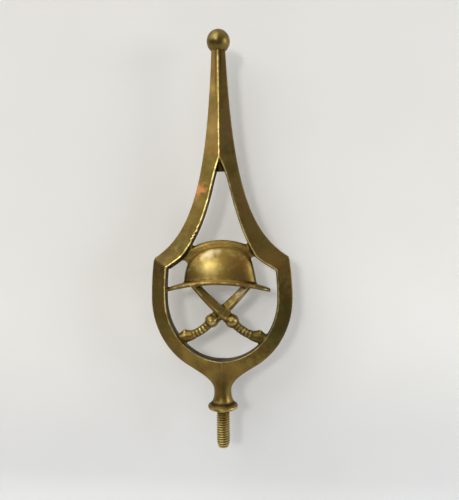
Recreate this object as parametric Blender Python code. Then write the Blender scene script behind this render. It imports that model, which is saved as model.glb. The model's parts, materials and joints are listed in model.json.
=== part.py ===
"""A cast brass flagpole finial: an open spear-shaped frame under a ball, with a brimmed helmet
and two crossed sabres in its ring, a round neck and collar, and a threaded stud below.

It is one casting, and the thread is cut on its own stud, so it is one solid. The origin is the
centre of the collar's flat underside, which seats on the pole's cap. +Z runs up to the ball,
the front faces -Y, and lengths are metres.
"""
import math

import bmesh
import bpy
from mathutils import Vector

NODE_NAME = "finial"

# Overall height and the ball on top
HEIGHT_ABOVE_COLLAR = 0.2248
BALL_DIAMETER = 0.0138

# Stem and arms: one outline that swings out from the ball to the shoulders
STEM_TOP_WIDTH = 0.0082
STEM_LEAN_DEG = 2.7
STEM_REACH = 0.0745
SHOULDER_HEIGHT = 0.0894
SHOULDER_SLOPE_DEG = 30.7
SHOULDER_REACH = 0.0277
SHOULDER_ROUNDING = 0.0024

# Ring: two half ellipses that meet at its widest height
RING_WIDTH = 0.0836
RING_WIDEST_HEIGHT = 0.0657
RING_RISE = 0.0870
RING_DROP = 0.0458

# Section of the frame: faces slope from a high inner edge down to a thin outer edge
FACE_WIDTH = 0.0085
OUTER_EDGE_THICKNESS = 0.0042
FACE_SLOPE_DEG = 15.8
INNER_WALL_SWELL = 0.0005
EDGE_ROUNDING = 0.0005
APEX_HEIGHT = 0.1480
OPENING_TOP_HEIGHT = 0.1404

# Width of the arms' faces where they are narrowest, beside the web, and at the shoulder. Each
# place is a share of the way along the outline from the ball to the shoulder.
ARM_WAIST_SHARE = 0.44
ARM_FULL_SHARE = 0.83
ARM_WAIST_LEFT = 0.0085
ARM_WAIST_RIGHT = 0.0075
ARM_FULL_LEFT = 0.0101
ARM_FULL_RIGHT = 0.0121
ARM_FOOT_LEFT = 0.0090
ARM_FOOT_RIGHT = 0.0106
ARM_WIDENING = 1.9
WALL_FILLET_SHARE = 0.75
WALL_FILLET_LEFT = 0.0012

# Foot of the frame, where the ring runs down into the neck
FOOT_WIDTH = 0.0390
FOOT_RING_REACH = 0.0100
FOOT_NECK_REACH = 0.0055

# Neck and collar, turned
NECK_DIAMETER = 0.0102
NECK_WAIST_HEIGHT = 0.0105
COLLAR_DIAMETER = 0.0178
COLLAR_SEAT_DIAMETER = 0.0152
COLLAR_LIP_THICKNESS = 0.0026
NECK_SHOULDER_RISE = 0.0085
NECK_FLARE = 0.2
NECK_TOP_DIAMETER = 0.0087
LIP_START_DEG = -50.0
LIP_END_DEG = 55.0

# Threaded stud, a 5/16 inch thread of 18 turns to the inch
STUD_DIAMETER = 0.0079375
STUD_LENGTH = 0.0228
THREAD_PITCH = 0.0254 / 18
THREAD_DEPTH = 0.00082
THREAD_START = 0.0030
STUD_TIP_DIAMETER = 0.0058
STUD_TIP_TAPER = 0.0032

# Web: the arched plate that ties the arms together behind the helmet
WEB_TOP_HEIGHT = 0.1000
WEB_ARCH_RADIUS = 0.0390
WEB_THICKNESS = 0.0034
WEB_FOOT_HEIGHT = 0.0888
WEB_FOOT_TILT_DEG = 2.4
WEB_FOOT_DROP = 0.0040
WEB_FOOT_DROP_PLACE = -0.0184
WEB_FOOT_DROP_WIDTH = 0.0034
WEB_ROOT = 0.0030

# Helmet brim, an arched oval plate that leans a little to the right
BRIM_TOP_HEIGHT = 0.0765
BRIM_ARCH_RADIUS = 0.0880
BRIM_TILT_DEG = 1.8
BRIM_DEPTH = 0.0180
BRIM_THICKNESS = 0.0031
BRIM_TIP_THICKNESS = 0.0020
BRIM_TIP_GAP = 0.0024
BRIM_TIP_DEG = 15.0
BRIM_DISH = 0.0005

# Helmet crown, domed to the front and the back
CROWN_LEFT = 0.0228
CROWN_RIGHT = 0.0214
CROWN_DEPTH = 0.0142
CROWN_HEIGHT = 0.0200
CROWN_TAPER_LEFT = 0.0024
CROWN_TAPER_RIGHT = 0.0046
CROWN_SHOULDER_LEFT = 3.3
CROWN_SHOULDER_RIGHT = 6.5
CROWN_SHOULDER_DEPTH = 2.8
CROWN_CREST_FLAT = 0.00006

# Crossed sabres: blades under the brim, hilts on the lower part of the ring
BLADE_SPREAD = 0.0334
BLADE_ROOT_WIDTH = 0.0044
BLADE_GUARD_WIDTH = 0.0068
BLADE_THICKNESS = 0.0044
BLADE_EDGE_THICKNESS = 0.0014
BLADE_BOW = 0.0007
HILT_SPREAD = 0.0122
HILT_HEIGHT = 0.0518
SABRE_LAP = 0.0016
GUARD_DIAMETER = 0.0084
GUARD_THICKNESS = 0.0042
GUARD_BALL_DIAMETER = 0.0084
GUARD_BALL_DEPTH = 0.0090
GRIP_WIDTH = 0.0052
GRIP_THICKNESS = 0.0048
GRIP_RING_HEIGHT = 0.0002
GRIP_RING_COUNT = 4
GRIP_BOW = 0.0027
GRIP_SHARE = 0.56
POMMEL_HEIGHT = 0.0418
POMMEL_BEAK = 0.0046
POMMEL_HEEL = 0.0036
POMMEL_BEAK_SHARE = 0.80
POMMEL_END_BEAK = 0.0015
POMMEL_END_HEEL = 0.0029
POMMEL_THICKNESS = 0.0056

# How far a form runs into the one that carries it
ROOT = 0.0012

# Facets
ARM_STEPS = 26
RING_STEPS = 30
NECK_STEPS = 7
CORNER_STEPS = 4
EDGE_STEPS = 4
LIP_STEPS = 4
WEB_STEPS = 32
BRIM_STEPS = 22
CROWN_SEGMENTS = 28
CROWN_LEVELS = 9
BLADE_STEPS = 12
GUARD_SEGMENTS = 16
BALL_SEGMENTS = 28
TURNED_SEGMENTS = 32
THREAD_SEGMENTS = 16
SABRE_SECTION_POINTS = 10

# Brass, as the photographed piece
BRASS_COLOUR = (0.24, 0.15, 0.045, 1.0)
BRASS_ROUGHNESS = 0.36


def lerp(a, b, t):
    return a + (b - a) * t


def bezier(points, t):
    """Point at t on the Bezier curve with these control points."""
    level = list(points)
    while len(level) > 1:
        level = [level[i].lerp(level[i + 1], t) for i in range(len(level) - 1)]
    return level[0]


def new_object(name, bm):
    """Turn a closed bmesh into an object whose faces point outwards."""
    bmesh.ops.recalc_face_normals(bm, faces=bm.faces)
    if bm.calc_volume(signed=True) < 0:
        bmesh.ops.reverse_faces(bm, faces=bm.faces)
    mesh = bpy.data.meshes.new(name)
    bm.to_mesh(mesh)
    bm.free()
    obj = bpy.data.objects.new(name, mesh)
    bpy.context.collection.objects.link(obj)
    return obj


def loft(sections):
    """Skin closed sections of equal point count and cap both ends."""
    bm = bmesh.new()
    rings = [[bm.verts.new(p) for p in section] for section in sections]
    count = len(rings[0])
    for lower, upper in zip(rings, rings[1:]):
        for i in range(count):
            j = (i + 1) % count
            bm.faces.new((lower[i], lower[j], upper[j], upper[i]))
    bm.faces.new(rings[0])
    bm.faces.new(rings[-1])
    return bm


# Outlines of the frame, as (x, z) of its right half

def ring_half_width(height, inset=0.0):
    """Half width of the ring's outline, moved inwards by inset, at a height."""
    half_width = RING_WIDTH / 2 - inset
    reach = (RING_RISE if height > RING_WIDEST_HEIGHT else RING_DROP) - inset
    share = min(1.0, abs(height - RING_WIDEST_HEIGHT) / reach)
    return half_width * math.sqrt(1.0 - share * share)


def stem_top_height():
    return HEIGHT_ABOVE_COLLAR - BALL_DIAMETER


def arm_control_points():
    """Control points of the outline from the stem's top to the shoulder's corner."""
    lean = math.radians(STEM_LEAN_DEG)
    slope = math.radians(SHOULDER_SLOPE_DEG)
    top = Vector((STEM_TOP_WIDTH / 2, stem_top_height()))
    corner = Vector((ring_half_width(SHOULDER_HEIGHT), SHOULDER_HEIGHT))
    return (
        top,
        top + STEM_REACH * Vector((math.sin(lean), -math.cos(lean))),
        corner + SHOULDER_REACH * Vector((-math.cos(slope), math.sin(slope))),
        corner,
    )


def inward(before, after):
    """Unit vector that points into the frame from an outline that runs downwards."""
    run = (after - before).normalized()
    return Vector((run.y, -run.x))


def arm_offset(t, inset):
    """Point at t on the arm's outline, moved inwards by inset."""
    controls = arm_control_points()
    step = 0.001
    ahead = bezier(controls, min(1.0, t + step))
    behind = bezier(controls, max(0.0, t - step))
    return bezier(controls, t) + inset * inward(behind, ahead)


def solve(function, low, high):
    """Root of a function that changes sign between low and high."""
    low_sign = function(low) > 0
    for _ in range(60):
        middle = (low + high) / 2
        if (function(middle) > 0) == low_sign:
            low = middle
        else:
            high = middle
    return (low + high) / 2


def face_width_to_centre(t):
    """Width of a face that runs from the arm's outline at t to the centre line."""
    across = arm_offset(t, 0.0) - arm_offset(t, FACE_WIDTH)
    return FACE_WIDTH * arm_offset(t, 0.0).x / across.x


def apex_t():
    """Where the front ridge of the stem splits round the opening."""
    def above(t):
        return arm_offset(t, face_width_to_centre(t)).y - APEX_HEIGHT
    return solve(above, 0.0, 0.9)


def arm_limits(side):
    """Where the opening starts on an arm's outline and where its lip meets the ring's."""
    foot = ARM_FOOT_RIGHT if side > 0 else ARM_FOOT_LEFT

    def outside(t):
        point = arm_offset(t, foot)
        return point.x - ring_half_width(point.y, FACE_WIDTH)
    return apex_t(), solve(outside, 0.2, 1.0)


def smooth(share):
    share = max(0.0, min(1.0, share))
    return share * share * (3 - 2 * share)


def arm_face_width(t, side, limits):
    """Width of an arm's face, from the outline at t to the lip of the opening."""
    start_t, end_t = limits
    if side > 0:
        waist, full, foot = ARM_WAIST_RIGHT, ARM_FULL_RIGHT, ARM_FOOT_RIGHT
    else:
        waist, full, foot = ARM_WAIST_LEFT, ARM_FULL_LEFT, ARM_FOOT_LEFT
    if t < ARM_WAIST_SHARE:
        share = (t - start_t) / (ARM_WAIST_SHARE - start_t)
        return lerp(face_width_to_centre(start_t), waist, 1 - (1 - share) ** 2)
    if t < ARM_FULL_SHARE:
        share = (t - ARM_WAIST_SHARE) / (ARM_FULL_SHARE - ARM_WAIST_SHARE)
        return lerp(waist, full, share ** ARM_WIDENING)
    return lerp(full, foot, smooth((t - ARM_FULL_SHARE) / (end_t - ARM_FULL_SHARE)))


def arm_lip(t, side, limits, further=0.0):
    """Point of an arm's lip at t, moved on into the opening."""
    return arm_offset(t, arm_face_width(t, side, limits) + further)


def arm_wall_x(height, side, further):
    """x of an arm's inner wall at a height, moved on into the opening."""
    limits = arm_limits(side)
    t = solve(lambda t: arm_lip(t, side, limits, further).y - height, *limits)
    return side * arm_lip(t, side, limits, further).x


def wall_swell(t, side):
    """How far the middle of an arm's inner wall stands out of its lip."""
    fillet = 0.0 if side > 0 else WALL_FILLET_LEFT
    share = (t - WALL_FILLET_SHARE) / (ARM_FULL_SHARE - WALL_FILLET_SHARE)
    return INNER_WALL_SWELL + fillet * smooth(share)


def ring_point(height, inset):
    return Vector((ring_half_width(height, inset), height))


def ring_arc(start_height, inset, steps):
    """Points down the ring's inset outline, from a height to its bottom on the centre line."""
    half_width = RING_WIDTH / 2 - inset
    points = []
    rise = RING_RISE - inset
    drop = RING_DROP - inset
    start_angle = math.asin((start_height - RING_WIDEST_HEIGHT) / rise)
    upper_steps = max(3, steps // 4)
    for i in range(upper_steps):
        angle = start_angle * (1 - i / upper_steps)
        height = RING_WIDEST_HEIGHT + rise * math.sin(angle)
        points.append(Vector((half_width * math.cos(angle), height)))
    lower_steps = steps - upper_steps
    for i in range(lower_steps + 1):
        angle = (math.pi / 2) * i / lower_steps
        height = RING_WIDEST_HEIGHT - drop * math.sin(angle)
        points.append(Vector((half_width * math.cos(angle), height)))
    points[-1].x = 0.0
    return points


def rounded_corner(before, corner, after, radius, steps):
    """Points that round a corner off between two neighbouring points."""
    start = corner + (before - corner).normalized() * radius
    end = corner + (after - corner).normalized() * radius
    return [bezier((start, corner, end), i / steps) for i in range(steps + 1)]


# The frame

def frame_stations(side):
    """Outer and inner outline points of one side, from the ball down to the neck.

    Each entry is (outer, inner, kind, swell). In the stem and the neck the inner point is the
    ridge on the centre line, and in the arms and the ring it is the lip of the opening, whose
    wall swells out by the last number.
    """
    stations = []
    limits = arm_limits(side)
    stem_end, inner_corner_t = limits
    outer_corner_t = 1.0
    stem_steps = ARM_STEPS // 3
    top = Vector((STEM_TOP_WIDTH / 2, HEIGHT_ABOVE_COLLAR - BALL_DIAMETER / 2))
    stations.append((top, Vector((0.0, top.y)), "stem", 0.0))
    for i in range(stem_steps):
        t = stem_end * i / stem_steps
        outer = arm_offset(t, 0.0)
        ridge = arm_offset(t, face_width_to_centre(t))
        stations.append((outer, Vector((0.0, ridge.y)), "stem", 0.0))

    stations.append((arm_offset(stem_end, 0.0), Vector((0.0, APEX_HEIGHT)), "apex", 0.0))

    arm_steps = ARM_STEPS - stem_steps
    for i in range(1, arm_steps):
        share = i / arm_steps
        outer = arm_offset(lerp(stem_end, outer_corner_t, share), 0.0)
        t = lerp(stem_end, inner_corner_t, share)
        stations.append((outer, arm_lip(t, side, limits), "open", wall_swell(t, side)))

    outer_corner = arm_offset(outer_corner_t, 0.0)
    inner_corner = arm_lip(inner_corner_t, side, limits)
    outer_ring = ring_arc(SHOULDER_HEIGHT, 0.0, RING_STEPS)
    inner_ring = ring_arc(inner_corner.y, FACE_WIDTH, RING_STEPS)
    outer_round = rounded_corner(stations[-1][0], outer_corner, outer_ring[2],
                                 SHOULDER_ROUNDING, CORNER_STEPS)
    inner_round = rounded_corner(stations[-1][1], inner_corner, inner_ring[2],
                                 SHOULDER_ROUNDING / 2, CORNER_STEPS)
    last_swell = stations[-1][3]
    for i, (outer, inner) in enumerate(zip(outer_round, inner_round)):
        swell = lerp(last_swell, INNER_WALL_SWELL, i / CORNER_STEPS)
        stations.append((outer, inner, "open", swell))

    neck = neck_outline()
    meet = max(i for i, point in enumerate(outer_ring) if point.x > neck[0].x)
    for i in range(1, meet + 1):
        share = i / (meet + 1)
        place = share * (len(inner_ring) - 1)
        low = int(place)
        inner = inner_ring[low].lerp(inner_ring[low + 1], place - low)
        stations.append((outer_ring[i], inner, "open", INNER_WALL_SWELL))

    floor = inner_ring[-1]
    stations.append((neck[0], floor, "floor", INNER_WALL_SWELL))
    for i, point in enumerate(neck[1:], 1):
        share = i / (len(neck) - 1)
        inner = Vector((0.0, lerp(floor.y, neck[-1].y, share)))
        stations.append((point, inner, "neck", 0.0))
    return stations


def neck_outline():
    """Side outline of the frame's foot, from the ring down to the neck's waist."""
    ring_height = solve(lambda h: ring_half_width(h) - FOOT_WIDTH / 2,
                        RING_WIDEST_HEIGHT - RING_DROP, RING_WIDEST_HEIGHT)
    start = ring_point(ring_height, 0.0)
    nearby = ring_point(ring_height + 0.001, 0.0)
    run = (start - nearby).normalized()
    waist = Vector((NECK_DIAMETER / 2 - EDGE_ROUNDING, NECK_WAIST_HEIGHT))
    controls = (start, start + FOOT_RING_REACH * run, waist + Vector((0.0, FOOT_NECK_REACH)), waist)
    return [bezier(controls, i / NECK_STEPS) for i in range(NECK_STEPS + 1)]


def frame_section(outer, inner, kind, swell):
    """Points of the frame's section, from the front ridge round the outer edge to the back."""
    across = inner - outer
    width = across.length
    direction = across.normalized()
    slope = math.tan(math.radians(FACE_SLOPE_DEG))
    edge = OUTER_EDGE_THICKNESS / 2
    ridge = edge + slope * FACE_WIDTH
    if kind in ("stem", "apex"):
        ridge = edge + slope * width

    def at(distance, depth):
        point = outer + direction * distance
        return Vector((point.x, depth, point.y))

    rounding = EDGE_ROUNDING
    start = edge + slope * rounding
    half = [at(rounding, -start), at(0.0, rounding - edge)]
    half += [at(0.0, edge - rounding), at(rounding, start)]
    if kind in ("stem", "neck"):
        return [at(width, -ridge)] + half + [at(width, ridge)]
    lip = ridge - slope * rounding
    wall = ridge - rounding
    middle = at(width + swell, 0.0)
    middle.x = max(0.0, middle.x)
    middle.z = min(middle.z, OPENING_TOP_HEIGHT)
    if kind == "open":
        front = [middle, at(width, -wall), at(width - rounding, -lip)]
        back = [at(width - rounding, lip), at(width, wall), middle]
        return front + half + back
    middle.x = 0.0
    front = [middle, at(width, -wall), at(width, -ridge)]
    back = [at(width, ridge), at(width, wall), middle]
    return front + half + back


def build_frame():
    bm = bmesh.new()
    for side in (1, -1):
        sections = [frame_section(*station) for station in frame_stations(side)]
        rows = []
        for points in sections:
            row = [bm.verts.new((side * p.x, p.y, p.z)) for p in points]
            rows.append(row)
        for upper, lower in zip(rows, rows[1:]):
            if len(upper) > len(lower):
                upper = upper[2:-2]
            if len(lower) > len(upper):
                lower = lower[2:-2]
            for i in range(len(upper) - 1):
                bm.faces.new((upper[i], upper[i + 1], lower[i + 1], lower[i]))
        bm.faces.new(rows[0])
        bm.faces.new(rows[-1])
    bmesh.ops.remove_doubles(bm, verts=bm.verts, dist=0.000001)
    bmesh.ops.dissolve_degenerate(bm, edges=bm.edges, dist=0.000001)
    return new_object("frame", bm)


# The ball, neck, collar and stud

def build_ball():
    bm = bmesh.new()
    bmesh.ops.create_uvsphere(bm, u_segments=BALL_SEGMENTS, v_segments=BALL_SEGMENTS // 2,
                              radius=BALL_DIAMETER / 2)
    centre = Vector((0.0, 0.0, HEIGHT_ABOVE_COLLAR - BALL_DIAMETER / 2))
    bmesh.ops.translate(bm, verts=bm.verts, vec=centre)
    return new_object("ball", bm)


def turned(profile):
    """Solid of revolution about Z from (radius, height) points, lowest first."""
    sections = []
    for radius, height in profile:
        section = []
        for i in range(TURNED_SEGMENTS):
            angle = 2 * math.pi * i / TURNED_SEGMENTS
            section.append(Vector((radius * math.cos(angle), radius * math.sin(angle), height)))
        sections.append(section)
    return loft(sections)


def collar_profile():
    """Profile of the collar and the round neck, from the seat up into the frame's foot."""
    neck = NECK_DIAMETER / 2
    lip = COLLAR_DIAMETER / 2
    seat = COLLAR_SEAT_DIAMETER / 2
    half_lip = COLLAR_LIP_THICKNESS / 2
    profile = [(seat, 0.0)]
    for i in range(LIP_STEPS + 1):
        angle = math.radians(lerp(LIP_START_DEG, LIP_END_DEG, i / LIP_STEPS))
        radius = lip - half_lip * (1 - math.cos(angle))
        profile.append((radius, half_lip * (1 + math.sin(angle))))
    start = Vector(profile[-1])
    waist = Vector((neck, NECK_WAIST_HEIGHT))
    bend = Vector((neck, lerp(start.y, waist.y, NECK_FLARE)))
    for i in range(1, NECK_STEPS + 1):
        point = bezier((start, bend, waist), i / NECK_STEPS)
        profile.append((point.x, point.y))
    for share in (0.5, 1.0):
        radius = lerp(neck, NECK_TOP_DIAMETER / 2, share ** 2)
        profile.append((radius, NECK_WAIST_HEIGHT + NECK_SHOULDER_RISE * share))
    return profile


def build_collar():
    return new_object("collar", turned(collar_profile()))


def stud_radius_limit(depth):
    """Largest radius of the stud at a depth below the collar's seat."""
    radius = STUD_DIAMETER / 2
    taper_start = STUD_LENGTH - STUD_TIP_TAPER
    if depth <= taper_start:
        return radius
    share = (depth - taper_start) / STUD_TIP_TAPER
    return lerp(radius, STUD_TIP_DIAMETER / 2, share)


def build_stud():
    """Stud with a true single-start right-hand thread of V form.

    Each column of points runs down the stud at one angle. Roots and crests alternate every half
    pitch, and every column is shifted by its angle's share of the pitch, so the crest climbs as
    it goes round.
    """
    crest = STUD_DIAMETER / 2
    root = crest - THREAD_DEPTH
    turns = int((STUD_LENGTH - THREAD_START) / THREAD_PITCH) + 3
    bm = bmesh.new()
    columns = []
    for i in range(THREAD_SEGMENTS + 1):
        angle = 2 * math.pi * i / THREAD_SEGMENTS
        shift = THREAD_PITCH * i / THREAD_SEGMENTS
        column = [(crest, ROOT), (crest, -THREAD_START)]
        for k in range(2 * turns):
            height = -THREAD_START + THREAD_PITCH - k * THREAD_PITCH / 2 + shift
            radius = root if k % 2 else crest
            height = max(-STUD_LENGTH, min(-THREAD_START, height))
            if height >= -THREAD_START:
                radius = crest
            radius = min(radius, stud_radius_limit(-height))
            column.append((radius, height))
        column.append((STUD_TIP_DIAMETER / 2, -STUD_LENGTH))
        columns.append([
            bm.verts.new((r * math.cos(angle), r * math.sin(angle), z)) for r, z in column])
    for left, right in zip(columns, columns[1:]):
        for k in range(len(left) - 1):
            bm.faces.new((left[k], left[k + 1], right[k + 1], right[k]))
    bmesh.ops.remove_doubles(bm, verts=bm.verts, dist=0.0000005)
    bmesh.ops.dissolve_degenerate(bm, edges=bm.edges, dist=0.0000005)
    open_edges = [edge for edge in bm.edges if edge.is_boundary]
    bmesh.ops.holes_fill(bm, edges=open_edges)
    return new_object("stud", bm)


# The web and the helmet

def build_web():
    """Arched plate between the arms, with a rounded top edge. Its foot drops beside the crown."""
    half = WEB_THICKNESS / 2
    sunk = INNER_WALL_SWELL - WEB_ROOT
    tilt = math.tan(math.radians(WEB_FOOT_TILT_DEG))
    top_ends = [arm_wall_x(WEB_TOP_HEIGHT - WEB_THICKNESS, side, sunk) for side in (-1, 1)]
    foot_ends = [arm_wall_x(WEB_FOOT_HEIGHT, side, sunk) for side in (-1, 1)]
    sections = []
    for i in range(WEB_STEPS + 1):
        top_x = lerp(*top_ends, i / WEB_STEPS)
        sag = WEB_ARCH_RADIUS - math.sqrt(WEB_ARCH_RADIUS ** 2 - top_x ** 2)
        rounding_centre = WEB_TOP_HEIGHT - sag - half
        foot_x = lerp(*foot_ends, i / WEB_STEPS)
        drop = smooth(1 - abs(foot_x - WEB_FOOT_DROP_PLACE) / WEB_FOOT_DROP_WIDTH)
        foot = WEB_FOOT_HEIGHT + tilt * foot_x - WEB_FOOT_DROP * drop
        section = [Vector((foot_x, -half, foot))]
        for k in range(EDGE_STEPS + 1):
            angle = math.pi * k / EDGE_STEPS
            height = rounding_centre + half * math.sin(angle)
            section.append(Vector((top_x, -half * math.cos(angle), height)))
        section.append(Vector((foot_x, half, foot)))
        sections.append(section)
    return new_object("web", loft(sections))


def brim_top(x):
    """Height of the brim's upper surface at x."""
    return BRIM_TOP_HEIGHT - x * x / (2 * BRIM_ARCH_RADIUS) - x * math.tan(math.radians(BRIM_TILT_DEG))


def brim_ends():
    """x of the brim's left end, rooted in the ring, and of its free right tip."""
    wall = ring_half_width(BRIM_TOP_HEIGHT, FACE_WIDTH)
    return -wall - ROOT, wall - INNER_WALL_SWELL - BRIM_TIP_GAP


def brim_thickness(x):
    left, right = brim_ends()
    share = abs(2 * (x - left) / (right - left) - 1)
    return lerp(BRIM_THICKNESS, BRIM_TIP_THICKNESS, share ** 3)


def build_brim():
    left, right = brim_ends()
    middle = (left + right) / 2
    half_length = (right - left) / 2
    tip = math.radians(BRIM_TIP_DEG)
    sections = []
    for i in range(BRIM_STEPS + 1):
        angle = lerp(tip, math.pi - tip, i / BRIM_STEPS)
        x = middle - half_length * math.cos(angle)
        half_depth = BRIM_DEPTH / 2 * math.sin(angle)
        top = brim_top(x)
        thickness = brim_thickness(x)
        shoulder = half_depth - min(thickness / 2, half_depth / 2)
        dish = BRIM_DISH * math.sin(angle)
        sections.append([
            Vector((x, -half_depth, top - thickness / 2)),
            Vector((x, -shoulder, top)),
            Vector((x, 0.0, top + dish)),
            Vector((x, shoulder, top)),
            Vector((x, half_depth, top - thickness / 2)),
            Vector((x, shoulder, top - thickness)),
            Vector((x, 0.0, top - thickness + dish)),
            Vector((x, -shoulder, top - thickness)),
        ])
    return new_object("brim", loft(sections))


def build_crown():
    """Domed crown whose foot follows the brim's arch."""
    sections = []
    for level in range(CROWN_LEVELS + 1):
        share = (1 - CROWN_CREST_FLAT / CROWN_HEIGHT) * math.sin(math.pi / 2 * level / CROWN_LEVELS)
        left = (CROWN_LEFT - CROWN_TAPER_LEFT * share) * math.sqrt(1 - share ** CROWN_SHOULDER_LEFT)
        right = (CROWN_RIGHT - CROWN_TAPER_RIGHT * share) * math.sqrt(1 - share ** CROWN_SHOULDER_RIGHT)
        depth = CROWN_DEPTH / 2 * math.sqrt(1 - share ** CROWN_SHOULDER_DEPTH)
        section = []
        for i in range(CROWN_SEGMENTS):
            angle = 2 * math.pi * i / CROWN_SEGMENTS
            x = (right if math.cos(angle) > 0 else left) * math.cos(angle)
            foot = brim_top(x) - brim_thickness(x) / 2
            crest = BRIM_TOP_HEIGHT + CROWN_HEIGHT
            section.append(Vector((x, depth * math.sin(angle), lerp(foot, crest, share))))
        sections.append(section)
    return new_object("crown", loft(sections))


# The sabres, drawn with the hilt on the right

def sabre_anchors():
    """Blade root under the brim, centre of the guard, and the pommel's foot in the ring."""
    root_x = -BLADE_SPREAD / 2
    root = Vector((root_x, brim_top(root_x) - brim_thickness(root_x) / 2))
    guard = Vector((HILT_SPREAD / 2, HILT_HEIGHT))
    pommel = ring_point(POMMEL_HEIGHT, FACE_WIDTH - ROOT)
    return root, guard, pommel


def bowed(start, end, bow, t):
    """Point on a curve between two ends, bowed sideways to its right."""
    run = (end - start).normalized()
    middle = (start + end) / 2 + Vector((run.y, -run.x)) * bow
    return bezier((start, middle, end), t)


def sweep_frame(start, end, bow, t):
    """Point, and the unit vector that points to the curve's upper side."""
    step = 0.002
    before = bowed(start, end, bow, max(0.0, t - step))
    after = bowed(start, end, bow, min(1.0, t + step))
    run = (after - before).normalized()
    return bowed(start, end, bow, t), Vector((-run.y, run.x))


def build_blade(side, lap):
    root, guard, _ = sabre_anchors()
    ridge = BLADE_THICKNESS / 2
    edge = BLADE_EDGE_THICKNESS / 2
    sections = []
    for i in range(BLADE_STEPS + 1):
        t = i / BLADE_STEPS
        centre, up = sweep_frame(root, guard, 2 * BLADE_BOW, t)
        half = lerp(BLADE_ROOT_WIDTH, BLADE_GUARD_WIDTH, t) / 2
        outline = [(half, -edge), (half, edge), (-half / 3, ridge),
                   (-half, edge), (-half, -edge), (-half / 3, -ridge)]
        section = []
        for across, depth in outline:
            point = centre + up * across
            section.append(Vector((side * point.x, depth + lap, point.y)))
        sections.append(section)
    return new_object("blade", loft(sections))


def grip_profile(t):
    """Upper reach, lower reach and half thickness of the hilt at t, guard to pommel."""
    half = GRIP_WIDTH / 2
    thick = GRIP_THICKNESS / 2
    if t <= GRIP_SHARE:
        wave = math.cos(2 * math.pi * GRIP_RING_COUNT * t / GRIP_SHARE)
        swell = -GRIP_RING_HEIGHT * wave
        return half + swell, half + swell, thick + swell
    if t <= POMMEL_BEAK_SHARE:
        share = (t - GRIP_SHARE) / (POMMEL_BEAK_SHARE - GRIP_SHARE)
        upper = lerp(half, POMMEL_BEAK, share ** 1.5)
        lower = lerp(half, POMMEL_HEEL, math.sqrt(share))
        return upper, lower, lerp(thick, POMMEL_THICKNESS / 2, math.sqrt(share))
    share = (t - POMMEL_BEAK_SHARE) / (1 - POMMEL_BEAK_SHARE)
    upper = lerp(POMMEL_BEAK, POMMEL_END_BEAK, share)
    lower = lerp(POMMEL_HEEL, POMMEL_END_HEEL, share)
    return upper, lower, POMMEL_THICKNESS / 2


def hilt_stations():
    """Places along the hilt: four to each grip ring, then the pommel's swell and its end."""
    count = 4 * GRIP_RING_COUNT
    stations = [GRIP_SHARE * i / count for i in range(count + 1)]
    stations += [lerp(GRIP_SHARE, POMMEL_BEAK_SHARE, i / 4) for i in range(1, 5)]
    stations += [lerp(POMMEL_BEAK_SHARE, 1.0, i / 2) for i in range(1, 3)]
    return stations


def build_hilt(side, lap):
    _, guard, pommel = sabre_anchors()
    sections = []
    for t in hilt_stations():
        centre, up = sweep_frame(guard, pommel, 2 * GRIP_BOW, t)
        upper, lower, thick = grip_profile(t)
        section = []
        for i in range(SABRE_SECTION_POINTS):
            angle = 2 * math.pi * (i + 0.5) / SABRE_SECTION_POINTS
            reach = upper if math.sin(angle) > 0 else lower
            point = centre + up * (reach * math.sin(angle))
            section.append(Vector((side * point.x, thick * math.cos(angle) + lap, point.y)))
        sections.append(section)
    return new_object("hilt", loft(sections))


def build_guard(side, lap, diameter, depth, name):
    """Flattened or stretched ball at the guard, between the blade and the grip."""
    _, guard, _ = sabre_anchors()
    bm = bmesh.new()
    bmesh.ops.create_uvsphere(bm, u_segments=GUARD_SEGMENTS,
                              v_segments=GUARD_SEGMENTS // 2, radius=0.5)
    for vert in bm.verts:
        vert.co = Vector((side * guard.x + vert.co.x * diameter, lap + vert.co.z * depth,
                          guard.y + vert.co.y * diameter))
    return new_object(name, bm)


def build_sabre(side):
    """Parts of one sabre. The one with its hilt on the right lies in front."""
    lap = -side * SABRE_LAP / 2
    return [
        build_blade(side, lap),
        build_hilt(side, lap),
        build_guard(side, lap, GUARD_DIAMETER, GUARD_THICKNESS, "guard_disc"),
        build_guard(side, lap, GUARD_BALL_DIAMETER, GUARD_BALL_DEPTH, "guard_ball"),
    ]


# Putting the casting together

def unite(body, pieces):
    """Join all the pieces to the body in one step and keep only the joined solid."""
    group = bpy.data.collections.new("pieces")
    for piece in pieces:
        group.objects.link(piece)
    joint = body.modifiers.new("join", "BOOLEAN")
    joint.operation = "UNION"
    joint.solver = "EXACT"
    joint.operand_type = "COLLECTION"
    joint.collection = group
    graph = bpy.context.evaluated_depsgraph_get()
    joined = bpy.data.meshes.new_from_object(body.evaluated_get(graph))
    body.modifiers.clear()
    body.data = joined
    for piece in pieces:
        bpy.data.objects.remove(piece)
    bpy.data.collections.remove(group)


def brass():
    material = bpy.data.materials.new("aged_brass")
    material.use_nodes = True
    shader = material.node_tree.nodes["Principled BSDF"]
    shader.inputs["Base Color"].default_value = BRASS_COLOUR
    shader.inputs["Roughness"].default_value = BRASS_ROUGHNESS
    shader.inputs["Metallic"].default_value = 1.0
    return material


def main():
    for obj in list(bpy.data.objects):
        bpy.data.objects.remove(obj, do_unlink=True)

    body = build_frame()
    pieces = [build_ball(), build_collar(), build_stud(), build_web()]
    pieces += [build_crown(), build_brim()]
    pieces += build_sabre(1) + build_sabre(-1)
    unite(body, pieces)

    body.name = NODE_NAME
    body.data.name = NODE_NAME
    body.data.materials.clear()
    body.data.materials.append(brass())
    body.data.shade_smooth()
    body.data.set_sharp_from_angle(angle=math.radians(32))


main()
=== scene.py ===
"""Scene of a cast brass flagpole finial in front of a pale sheet, in soft light from the left."""
import json
import math

import bmesh
import bpy
import numpy as np
from mathutils import Matrix, Vector

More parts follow.
